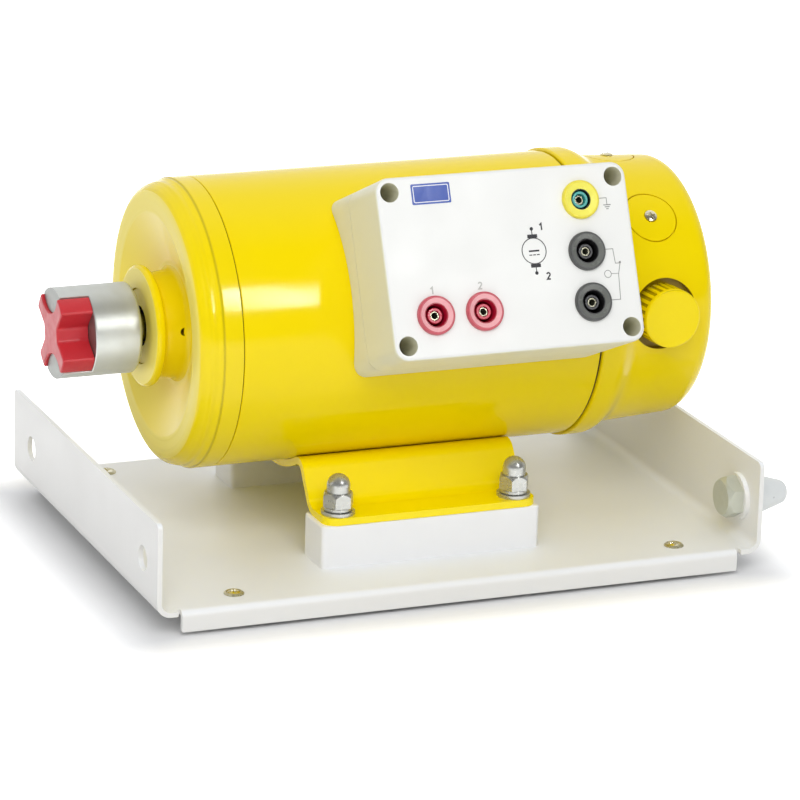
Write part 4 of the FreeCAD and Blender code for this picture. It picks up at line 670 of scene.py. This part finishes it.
# -------- inside the case
# Ferrite magnets on the tube's bore, a laminated and wound armature with its commutator on a
# ground shaft, two ball bearings and the bolts that clamp the case.
dress(new_finish("sintered_ferrite", ("3A3A3D", "2E2E30"), 12.0, (0.55, 0.7), 6.0, 1.0, 0.02),
      "field_magnets")
dress(new_finish("stacked_lamination_steel", ("6E7075", "55575B"), 1.4, (0.3, 0.45), 8.0, 1.0,
                 0.05, stretch=(1.0, 0.05, 0.05), Metallic=1.0), "armature_core")
dress(new_finish("enamelled_copper_wire", ("B5622E", "8E4620"), 2.2, (0.25, 0.4), 4.0, 1.6,
                 0.25, stretch=(0.25, 1.0, 1.0), Metallic=1.0), "armature_winding")
dress(new_finish("turned_copper_bars", ("C98A5C", "B0713F"), 3.0, (0.22, 0.36), 3.0, 0.8, 0.01,
                 stretch=(1.0, 0.08, 0.08), Metallic=1.0), "commutator")
ground_steel = new_finish("ground_bearing_steel", ("C9CBCE", "AEB0B4"), 4.0, (0.12, 0.22),
                          3.0, 0.7, 0.003, Metallic=1.0)
dress(ground_steel, "motor_shaft", "drive_bearing_outer_ring", "drive_bearing_inner_ring",
      "drive_bearing_balls", "rear_bearing_outer_ring", "rear_bearing_inner_ring",
      "rear_bearing_balls")
dress(new_finish("black_oxide_steel", ("2B2B2D", "1D1D1F"), 3.0, (0.3, 0.45), 3.0, 0.8, 0.006,
                 Metallic=0.6), "through_bolts", "coupling_set_screw", "coupling_key")

# A moulded rubber seal closes each bearing between its rings, on both faces.
SEAL_THICKNESS = 1.0 * MM
SEAL_SUNK = 0.6 * MM
SEAL_BEAD = 0.5 * MM
SEAL_LIP = 1.6 * MM
SEAL_CLEARANCE = 0.15 * MM
seal_moulded = new_finish("moulded_nitrile_seal", ("35331E", "2B2A1A"), 6.0, (0.45, 0.6), 4.0,
                          0.9, 0.012)


def radii(node):
    """Distances of a node's points from the motor axis."""
    points = node_points(node)
    return np.hypot(points[:, 1] - axis_y, points[:, 2] - axis_z)


seals = []
for end in ("drive", "rear"):
    race_low, race_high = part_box(end + "_bearing_outer_ring")
    inner_edge = radii(end + "_bearing_inner_ring").max() + SEAL_CLEARANCE
    outer_edge = radii(end + "_bearing_outer_ring").min()
    for face, inward in ((race_low.x, 1), (race_high.x, -1)):
        level = face + inward * SEAL_SUNK
        back = level + inward * SEAL_THICKNESS
        bead = level - inward * SEAL_BEAD
        outline = eased([(back, outer_edge, 0), (level, outer_edge, 0),
                         (level, inner_edge + SEAL_LIP + 0.6 * MM, 0.4 * MM),
                         (bead, inner_edge + SEAL_LIP, 0.3 * MM),
                         (bead, inner_edge, 0.2 * MM), (back, inner_edge, 0)], True, 4)
        seals.append(turned(outline, axis_line, ALONG, 128))
piece("bearing_seals", seals, seal_moulded, ring=True)

# At the drive end a pressed cup closes the recess in front of the bearing. It stands on the
# bearing's outer ring and was sprayed over with the shield.
CUP_DEEP = 5.0 * MM
CUP_SHEET = 1.0 * MM
CUP_LIP = 12.5 * MM
race_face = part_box("drive_bearing_outer_ring")[0].x
bore_radius = radii("drive_bearing_outer_ring").max()
cup_face = race_face - CUP_DEEP
dust_cup = eased([(race_face, bore_radius, 0), (cup_face, bore_radius, 0.8 * MM),
                  (cup_face, CUP_LIP, 0.3 * MM), (cup_face + CUP_SHEET, CUP_LIP, 0),
                  (cup_face + CUP_SHEET, bore_radius - CUP_SHEET, 0.3 * MM),
                  (race_face, bore_radius - CUP_SHEET, 0)], True, 4)
piece("bearing_dust_cup", [turned(dust_cup, axis_line, ALONG, 160)], shield_enamel,
      ring=True)

# -------- coupling
# Turned aluminium hub with two jaws and a red polyurethane spider between them. The tool
# marks run round the hub and across its faces, and the faces that look to the drive end, the
# jaws' ends among them, are painted darker as painted shade.
TOOL_MARK_MM = 0.9
TOOL_MARK_DEPTH = 0.012 * MM
hub_aluminium = new_finish("turned_aluminium", ("D6D9D6", "C4C7C4"), 14.0, (0.38, 0.48), 6.0,
                           1.0, 0.004, Metallic=0.8)
tree = hub_aluminium.node_tree
along_shaft, off_axis = shaft_place(tree)
lathe_place = add(tree, "CombineXYZ", X=along_shaft, Y=off_axis)
marks = add(tree, "TexNoise", {"Scale": UNIT_NOISE_MM / TOOL_MARK_MM, "Detail": 3.0},
            Vector=lathe_place)
normal = tree.nodes["Principled BSDF"].inputs["Normal"]
cut = add(tree, "Bump", {"Strength": 1.0, "Distance": TOOL_MARK_DEPTH},
          Height=marks, Normal=normal.links[0].from_socket)
tree.links.new(cut.outputs[0], normal)
# Painted shade: a darker tone on the faces that look to the drive end.
overpaint(tree, drive_side_faces(tree), "8F918D")
dress(hub_aluminium, "coupling_hub")

# Cast polyurethane is a clear bright red with a satin skin and lets a little light in.
spider_rubber = new_finish("red_polyurethane", ("CC3038", "BE2630"), 10.0, (0.30, 0.42), 5.0,
                           1.2, 0.01, Subsurface_Weight=0.12, Subsurface_Scale=0.004,
                           Specular_IOR_Level=0.5)

# Two of its hollows are round and take the hub's jaws. The two open ones have a flat floor
# and straight flanks. Angles are up from the front, lengths in mm from the axis.
SPIDER_TURN = 9.0
SPIDER_RADIUS = 27.8
HOLLOW_ANGLES = (-32.0, -88.0, -5.0)
SPIDER_EDGE = 1.0 * MM
LEG_ROUND = 1.3
OPEN_HALF_ANGLE = 30.5
FLOOR_FROM_AXIS = 12.6
FLOOR_HALF_WIDTH = 4.2
FLOOR_ROUND = 3.6
JAW_HOLLOW = 16.8
JAW_HOLLOW_CENTRE = 29.3
JAW_HALF_ANGLE = 34.1


def on_rim(degrees, rounding=0):
    """A corner on the spider's rim at an angle from the open hollow's middle."""
    turn = math.radians(degrees)
    return SPIDER_RADIUS * math.cos(turn), SPIDER_RADIUS * math.sin(turn), rounding


leg_end = 90.0 - JAW_HALF_ANGLE
quarter = [(FLOOR_FROM_AXIS, FLOOR_HALF_WIDTH, FLOOR_ROUND), on_rim(OPEN_HALF_ANGLE, LEG_ROUND)]
quarter += [on_rim(degrees) for degrees in np.linspace(OPEN_HALF_ANGLE + 5, leg_end - 5, 5)]
quarter += [on_rim(leg_end, LEG_ROUND)]
quarter += [(JAW_HOLLOW * math.cos(turn), JAW_HOLLOW_CENTRE + JAW_HOLLOW * math.sin(turn), 0)
            for turn in np.radians(np.arange(*HOLLOW_ANGLES))]
half = quarter + [(0, JAW_HOLLOW_CENTRE - JAW_HOLLOW, 0)]
half += [(-a, b, rounding) for a, b, rounding in reversed(quarter)]
outline = eased(half + [(-a, -b, rounding) for a, b, rounding in half], True, 5) * MM
ahead = np.roll(outline, -1, axis=0) - np.roll(outline, 1, axis=0)
outside = np.stack([ahead[:, 1], -ahead[:, 0]], axis=-1)
outside /= np.linalg.norm(outside, axis=1)[:, None]
spider_low, spider_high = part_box("coupling_spider")
bend = np.linspace(0, math.pi / 2, 6)
rows = [(spider_low.x, None), (spider_low.x, 1.15 * SPIDER_EDGE)]
rows += [(spider_low.x + SPIDER_EDGE * (1 - math.cos(t)), SPIDER_EDGE * (1 - math.sin(t)))
         for t in bend]
rows += [(spider_low.x + 1.15 * SPIDER_EDGE, 0), (spider_high.x, 0), (spider_high.x, None)]
spider_grid = []
for along, inset in rows:
    flat = outline * 0 if inset is None else outline - outside * inset
    spider_grid.append(axis_line + np.array([along, 0, 0]) + flat[:, :1] * outward(SPIDER_TURN)
                       + flat[:, 1:] * outward(SPIDER_TURN + 90))
spider = piece("elastic_spider", [np.array(spider_grid)], spider_rubber, "rotor")
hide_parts("coupling_spider")

# -------- brush gear
# Two insulated holders in pockets of the rear cover, each with a carbon brush, a coil spring
# behind it and a ribbed screw cap painted over with the motor. They point a few degrees up.
STATION_TILT = 3.3
SPRING_RADIUS = 3.2 * MM
SPRING_WIRE = 0.5 * MM
SPRING_TURNS = 4.0
SPRING_STEPS = 160
SPRING_SECTION = 10
moulded_black = new_finish("black_moulded_resin", ("1C1C1E", "262628"), 10.0, (0.35, 0.5), 6.0,
                           0.9, 0.01)
dress(moulded_black, "brush_holder_front", "brush_holder_rear", "thermal_switch")
dress(new_finish("pressed_carbon", ("2A2A2C", "38383A"), 1.5, (0.45, 0.6), 3.0, 0.7, 0.02),
      "brush_front", "brush_rear")

# The caps' grooves and the narrow pockets round the caps are painted darker, as painted shade.
POCKET_REACH = 22.8 * MM
GROOVE_REACH = 18.35 * MM
CAP_TOP = 97.5 * MM
CAP_TOP_RIM = 1.2 * MM


def enamel_with_painted_shade(name, tones, shade_tone, reach, top):
    """The motor's enamel, with a darker tone painted as shade where a point is nearer to a brush
    station's line than the reach and nearer to the motor's axis than the top, both in metres."""
    finish = new_finish(name, tones, 90.0, (0.11, 0.16), 45.0, 5.0, 0.010,
                        Specular_IOR_Level=ENAMEL_GLOSS)
    tree = finish.node_tree
    place = add(tree, "TexCoord")
    here = add(tree, "VectorMath", {"operation": "SUBTRACT", 1: (station_x, axis_y, axis_z)},
               _0=place.outputs["Object"])
    split = add(tree, "SeparateXYZ", Vector=here)
    along = add(tree, "Math", {"operation": "ABSOLUTE"}, _0=split.outputs["Y"])
    rise = add(tree, "Math", {"operation": "MULTIPLY_ADD",
                              1: -math.tan(math.radians(STATION_TILT))},
               _0=along, _2=split.outputs["Z"])
    flat = add(tree, "CombineXYZ", X=split.outputs["X"], Y=rise)
    off_line = add(tree, "VectorMath", {"operation": "LENGTH"}, _0=flat)
    near = add(tree, "MapRange", {"From Min": reach, "From Max": reach - 0.2 * MM},
               Value=off_line.outputs["Value"])
    below = add(tree, "MapRange", {"From Min": top, "From Max": top - 0.3 * MM}, Value=along)
    both = add(tree, "Math", {"operation": "MULTIPLY"}, _0=near, _1=below)
    # Painted shade: the darker tone in the pockets and grooves.
    overpaint(tree, both, shade_tone)
    return finish


dress(enamel_with_painted_shade("yellow_enamel_shaded_pockets", ("F5DA00", "F1D500"), "9C8200", POCKET_REACH,
             CAP_TOP), "rear_end_cover")
dress(enamel_with_painted_shade("yellow_enamel_shaded_grooves", ("F8DD00", "F4D900"), "B8A000", GROOVE_REACH,
             CAP_TOP - CAP_TOP_RIM), "brush_cap_front", "brush_cap_rear")


def coil(inner, outer, out, start):
    """A round wire along a helix: centre start + h * out + R * (cos a * side + sin a * up),
    with a circle of the wire's radius carried along it."""
    out, side, up = across(out)
    part = np.linspace(0, 1, SPRING_STEPS)
    angle = part * 2 * math.pi * SPRING_TURNS
    rise = inner + SPRING_WIRE + (outer - inner - 2 * SPRING_WIRE) * part
    radial = np.cos(angle)[:, None] * side + np.sin(angle)[:, None] * up
    path = np.array(start) + rise[:, None] * out + SPRING_RADIUS * radial
    turn = np.linspace(0, 2 * math.pi, SPRING_SECTION, endpoint=False)
    section = SPRING_WIRE * np.stack([np.cos(turn), np.sin(turn)], axis=-1)
    return swept(path, section, radial, np.tile(out, (SPRING_STEPS, 1)))


start = axis_line + np.array([station_x, 0, 0])
for place_name, angle in (("front", STATION_TILT), ("rear", 180.0 + STATION_TILT)):
    out = outward(angle)
    reach = (node_points("brush_spring_" + place_name) - start) @ out
    spring = piece("coil_spring_" + place_name, [coil(reach.min(), reach.max(), out, start)],
                   ground_steel)
    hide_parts("brush_spring_" + place_name)
    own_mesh(spring)

# -------- terminal box
# Moulded box in pebble grey: the base is cut to the round of the tube, and the deep lid
# closes on a rubber cord with four sunk screws. The lid's face is painted white, as painted
# light.
PANEL_TILT = 23.5
PANEL_DISTANCE = 150.0 * MM
FACE_BAND = 1.6 * MM
FACE_TURN = (0.62, 0.72)
LIT_FACE_PATCH_MM = 70.0
lid_low, lid_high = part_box("terminal_box_lid")
panel_out = outward(PANEL_TILT)
panel_along = np.array(ALONG)
panel_up = np.cross(panel_out, panel_along)
panel_origin = axis_line + np.array([(lid_low.x + lid_high.x) / 2, 0, 0])


def on_panel(points, lift=0.0):
    """Points of the panel from (u, v) in millimetres along it and up it, lifted off it by a
    length in metres."""
    points = np.array(points, float) * MM
    return (panel_origin + points[..., :1] * panel_along + points[..., 1:] * panel_up
            + panel_out * (PANEL_DISTANCE + lift))


dress(new_finish("pebble_grey_abs", ("E5E2C9", "DEDCC2"), 50.0, (0.40, 0.52), 20.0, 0.9, 0.010,
                 Specular_IOR_Level=0.45), "terminal_box_base")

# The same plastic, painted white as painted light where the surface faces out and lies at the
# front.
lid_plastic = new_finish("pebble_grey_abs_painted_lit_face", ("E5E2C9", "DEDCC2"), 50.0,
                         (0.34, 0.46), 20.0, 0.9, 0.008, Specular_IOR_Level=0.45)
tree = lid_plastic.node_tree
place = add(tree, "TexCoord")
face_level = float(panel_origin @ panel_out + PANEL_DISTANCE)
masks = []
for output, (start_at, full_at) in (
        ("Normal", FACE_TURN), ("Object", (face_level - FACE_BAND, face_level - 0.8 * FACE_BAND))):
    outwards = add(tree, "VectorMath", {"operation": "DOT_PRODUCT", 1: tuple(panel_out)},
                   _0=place.outputs[output])
    masks.append(add(tree, "MapRange", {"From Min": start_at, "From Max": full_at},
                     Value=outwards.outputs["Value"]))
lit_face_mask = add(tree, "Math", {"operation": "MULTIPLY"}, _0=masks[0], _1=masks[1])
# Painted light: the white of the lid's face, in soft patches.
lit_face_patches = add(tree, "TexNoise", {"Scale": UNIT_NOISE_MM / LIT_FACE_PATCH_MM, "Detail": 2.0},
                  Vector=place.outputs["Object"])
ink = add(tree, "MixRGB", {"Color1": linear("ECECE8"), "Color2": linear("E7E7E2")},
          Fac=lit_face_patches)
painted = overpaint(tree, lit_face_mask, "ECECE8")
tree.links.new(ink.outputs[0], painted.inputs["Color2"])
dress(lid_plastic, "terminal_box_lid")
dress(new_finish("pale_seal_cord", ("C2BFA2", "B6B396"), 8.0, (0.55, 0.7), 6.0, 0.9, 0.01),
      "lid_gasket")
dress(bright_screw, "lid_screws", "box_fixing_screws")

# -------- sockets
# Five 4 mm safety sockets. Each is a moulded collar on the panel, a sleeve down the ring
# cavity, painted dark as its shade, a post in the middle and a brass tube in the post.
# Lengths here are millimetres.
COLLAR_RADIUS = 11.9
COLLAR_HEIGHT = 3.0
DISH_RADIUS = 10.2
SLEEVE_TOP = 1.9
SLEEVE_FOOT = 6.4
CAVITY_DEPTH = 24.0
CAVITY_END = CAVITY_DEPTH + 2.0
SOCKET_PLACES = {
    "red_socket_left": (-53.2, -25.1), "red_socket_right": (-21.8, -25.1),
    "earth_socket": (49.2, 37.3), "black_socket_upper": (49.2, 5.9),
    "black_socket_lower": (49.2, -25.1),
}
# Polyamide moulds to a smooth satin skin. Light and shade are painted into the parts' tones:
# the dish is paler, as a painted highlight, and the rim darker and the sleeve, deep in the
# cavity, darkest, as painted shade.
SOCKET_PARTS = (
    # part, patches of its colour, roughness, sides of its turning
    ("rim", 6.0, (0.3, 0.42), 96), ("dish", 6.0, (0.2, 0.3), 96),
    ("sleeve", 5.0, (0.3, 0.42), 64), ("post", 5.0, (0.24, 0.36), 64),
)
# The parts' tones hold a painted highlight on the dish and painted shade on the rim and sleeve.
SOCKET_KINDS = {
    # kind: (slot, tones of each part, post radius, bore, post top, sleeve bore at the top,
    #        sleeve radius)
    "red": ("socket_red", (("C85560", "BC4A56"), ("F0B0B3", "EAA5A8"), ("B01230", "9E0E28"),
                           ("CC2C46", "BE2440")), 4.8, 3.0, -0.9, 6.9, 7.5),
    "earth": ("socket_yellow", (("EBDD3C", "E4D432"), ("F8F06A", "F3E95A"),
                                ("1E2A1E", "182218"), ("4FB4AC", "42A59C")),
              5.1, 3.5, 0.6, 5.9, 6.4),
    "black": ("socket_black", (("4C4D4B", "434442"), ("6F716C", "656762"),
                               ("161617", "101011"), ("343436", "28282A")),
              4.7, 3.0, -0.9, 7.0, 7.5),
}
rim = [(0, DISH_RADIUS, 0), (0, COLLAR_RADIUS, 0.2), (COLLAR_HEIGHT, COLLAR_RADIUS - 0.3, 1.0),
       (COLLAR_HEIGHT, DISH_RADIUS, 0)]
for kind, (slot, tones, post, bore, post_top, mouth, outer) in SOCKET_KINDS.items():
    dish = [(0, outer, 0), (0, DISH_RADIUS, 0), (COLLAR_HEIGHT - 0.1, DISH_RADIUS, 0),
            (SLEEVE_TOP, outer, 0.25), (SLEEVE_TOP - 0.5, outer, 0)]
    floor_edge = (SLEEVE_FOOT + post) / 2
    wall = min(SLEEVE_FOOT, mouth) - 0.2
    sleeve = [(SLEEVE_TOP - 0.3, outer, 0), (SLEEVE_TOP - 0.3, mouth, 0.15), (-1.5, wall, 0.3),
              (-CAVITY_DEPTH, wall, 0), (-CAVITY_DEPTH, floor_edge, 0),
              (-CAVITY_END, floor_edge, 0), (-CAVITY_END, outer, 0)]
    stem = [(-CAVITY_DEPTH, bore, 0), (post_top, bore, 0.3), (post_top, post, 0.5),
            (-CAVITY_DEPTH, post, 0)]
    made = []
    for (part, patch, gloss, sides), pair, corners in zip(SOCKET_PARTS, tones,
                                                          (rim, dish, sleeve, stem)):
        finish = new_finish("%s_%s_polyamide" % (kind, part), pair, patch, gloss, 4.0, 1.0,
                            0.006)
        made.append((part, finish, eased(corners, True) * MM, sides))
    for name, spot in SOCKET_PLACES.items():
        if name.startswith(kind):
            for part, finish, outline, sides in made:
                grid = turned(outline, on_panel(spot), panel_out, sides)
                moulding = piece(name + "_" + part, [grid], finish, ring=True)
                if part == "rim":
                    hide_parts(name)

# Nickelled brass is a soft yellowish grey with a dull shine.
dress(new_finish("nickelled_brass_tube", ("A9A792", "8C8A76"), 2.0, (0.25, 0.38), 1.5, 0.7,
                 0.006, Metallic=0.8), "socket_contacts")
dress(moulded_black, "socket_nuts")

# -------- panel print
# Thin screen-printed lines on the face: the motor's circuit symbol, the earth and thermal
# contact symbols and terminal numbers. Lines and places are in millimetres on the panel.
INK_THICKNESS = 0.06 * MM
INK_SINK = 0.02 * MM
LINE = 0.55
screen_ink, pale_ink, grey_ink = [
    new_finish(name, tones, 3.0, (0.5, 0.6), 3.0, 0.8, 0.004) for name, tones in (
        ("black_screen_ink", ("26262A", "303034")),
        ("pale_grey_screen_ink", ("B8B8B2", "C2C2BC")),
        ("thin_grey_screen_ink", ("85857F", "95958F")))]


def ribbon(points, width, level=0.0, closed=False):
    """A flat line on the panel: a rectangle of width and ink thickness carried along (u, v)
    points, with its corners mitred."""
    points = np.array(points, float)
    ahead = np.roll(points, -1, axis=0) - points
    if not closed:
        ahead[-1] = ahead[-2]
    ahead /= np.linalg.norm(ahead, axis=1)[:, None]
    back = np.roll(ahead, 1, axis=0)
    if not closed:
        back[0] = ahead[0]
    normal = np.stack([-(ahead + back)[:, 1], (ahead + back)[:, 0]], axis=-1)
    normal /= np.linalg.norm(normal, axis=1)[:, None]
    reach = width / 2 / np.abs(normal[:, 0] * -ahead[:, 1] + normal[:, 1] * ahead[:, 0])
    over = normal * reach[:, None]
    low = level - INK_SINK
    high = level + INK_THICKNESS
    grid = np.stack([on_panel(points + side * over, lift) for side, lift in
                     ((1, low), (1, high), (-1, high), (-1, low))], axis=1)
    if closed:
        return np.concatenate([grid, grid[:1]])
    shut = np.repeat(grid[[0, -1]].mean(axis=1, keepdims=True), 4, axis=1)
    return np.concatenate([shut[:1], grid, shut[1:]])


def circle(u, v, radius, count=48):
    """(u, v) points round a circle."""
    angle = np.linspace(0, 2 * math.pi, count, endpoint=False)
    return np.stack([u + radius * np.cos(angle), v + radius * np.sin(angle)], axis=-1)


def dot(u, v, radius):
    """A filled round dot of ink."""
    outline = np.array([(-INK_SINK, 0), (-INK_SINK, radius * MM), (INK_THICKNESS, radius * MM),
                        (INK_THICKNESS, 0)])
    return turned(outline, on_panel((u, v)), panel_out, 32)


def motor_run(left, low, right, high, width):
    """A straight line of the motor's symbol, placed from the middle of its circle."""
    return ribbon([(MOTOR_U + left, MOTOR_V + low), (MOTOR_U + right, MOTOR_V + high)], width)


MOTOR_U = 15.2
MOTOR_V = 8.6
MOTOR_CIRCLE = 7.8
BRUSH_LINE = 2.2
EARTH_U = 66.6
FINE_LINE = 0.45
BAR_LINE = 0.6
SYMBOLS = {
    "motor_symbol": (screen_ink, [
        ribbon(circle(MOTOR_U, MOTOR_V, MOTOR_CIRCLE), LINE, closed=True),
        motor_run(-3.2, 8.9, 3.2, 8.9, BRUSH_LINE),
        motor_run(-3.2, -8.9, 3.2, -8.9, BRUSH_LINE),
        motor_run(0, 9.8, 0, 13.0, LINE), motor_run(0, -9.8, 0, -13.0, LINE),
        dot(MOTOR_U, MOTOR_V + 13.4, 1.1), dot(MOTOR_U, MOTOR_V - 13.4, 1.1),
        motor_run(-3.4, 0, 3.4, 0, 1.0), motor_run(-3.4, -2.4, -1.5, -2.4, BAR_LINE),
        motor_run(-0.9, -2.4, 0.9, -2.4, BAR_LINE), motor_run(1.5, -2.4, 3.4, -2.4, BAR_LINE)]),
    "earth_symbol": (grey_ink, [
        ribbon([(60.4, 37.3), (EARTH_U, 37.3), (EARTH_U, 33.0)], FINE_LINE)] + [
        ribbon([(EARTH_U - half, v), (EARTH_U + half, v)], BAR_LINE)
        for half, v in ((2.4, 33.0), (1.6, 31.8), (0.8, 30.6))]),
    "thermal_symbol": (grey_ink, [
        ribbon([(60.4, 6.1), (66.6, 6.1), (67.2, -2.8), (69.6, -2.8)], FINE_LINE),
        ribbon([(70.6, -1.6), (68.4, -9.4), (67.6, -24.8), (60.4, -24.8)], FINE_LINE),
        ribbon(circle(61.4, -8.9, 2.2, 32), 0.4, closed=True),
        ribbon([(63.6, -8.9), (68.4, -9.0)], 0.35), dot(70.2, -2.4, 0.7)]),
}
for group, (ink_kind, lines) in SYMBOLS.items():
    for number, grid in enumerate(lines):
        piece("%s_%02d" % (group, number), [grid], ink_kind)

# Terminal numbers: bold at the motor's symbol, faint above the red sockets.
NUMERAL_HEIGHT = 4.0
NUMERAL_LINE = 0.9
NUMERAL_PLACES = {
    # name: (digit, u, v, ink)
    "symbol_number_1": (1, 21.6, 22.8, screen_ink), "symbol_number_2": (2, 22.6, -7.2, screen_ink),
    "socket_number_1": (1, -53.4, -10.2, pale_ink), "socket_number_2": (2, -22.4, -9.6, pale_ink),
}


def digit_line(digit, u, v):
    """(u, v) points of a one, a flag and a stem, or of a two, an arc, a slant and a foot."""
    if digit == 1:
        shape = np.array([(-0.24, 0.26), (0.06, 0.5), (0.06, -0.5)])
    else:
        angle = np.radians(np.linspace(165, -40, 12))
        arc = np.stack([0.25 * np.cos(angle), 0.25 + 0.25 * np.sin(angle)], axis=-1)
        shape = np.concatenate([arc, [(-0.25, -0.46), (0.28, -0.46)]])
    return np.array([u, v]) + shape * NUMERAL_HEIGHT


for name, (digit, u, v, ink_kind) in NUMERAL_PLACES.items():
    piece(name, [ribbon(digit_line(digit, u, v), NUMERAL_LINE)], ink_kind)

# A plain blue vinyl label with rounded corners and a thin white line inside its edge.
LABEL_EDGES = (-59.0, 41.6, -34.0, 54.0)
LABEL_CORNER = 0.8
LABEL_THICKNESS = 0.12 * MM
LABEL_LINE_INSET = 1.3
LABEL_LINE = 0.5
blue_vinyl = new_finish("blue_label_vinyl", ("3F5BAE", "3852A4"), 8.0, (0.35, 0.48), 5.0, 1.0,
                        0.004)
white_ink = new_finish("white_label_ink", ("F2F3F4", "ECEDEF"), 5.0, (0.4, 0.5), 4.0, 0.9,
                       0.003)


def label_outline(inset):
    """The label's rounded outline, drawn in by an inset."""
    u0, v0, u1, v1 = np.array(LABEL_EDGES) + np.array([inset, inset, -inset, -inset])
    return eased([(u, v, LABEL_CORNER) for u, v in ((u0, v0), (u1, v0), (u1, v1), (u0, v1))],
                 True, 5)


edge = label_outline(0.0)
centre = np.repeat(edge.mean(axis=0)[None], len(edge), axis=0)
film = np.stack([on_panel(centre, -INK_SINK), on_panel(edge, -INK_SINK),
                 on_panel(edge, LABEL_THICKNESS), on_panel(centre, LABEL_THICKNESS)])
piece("blank_label", [film], blue_vinyl)
piece("label_keyline", [ribbon(label_outline(LABEL_LINE_INSET), LABEL_LINE, LABEL_THICKNESS,
                               True)], white_ink)
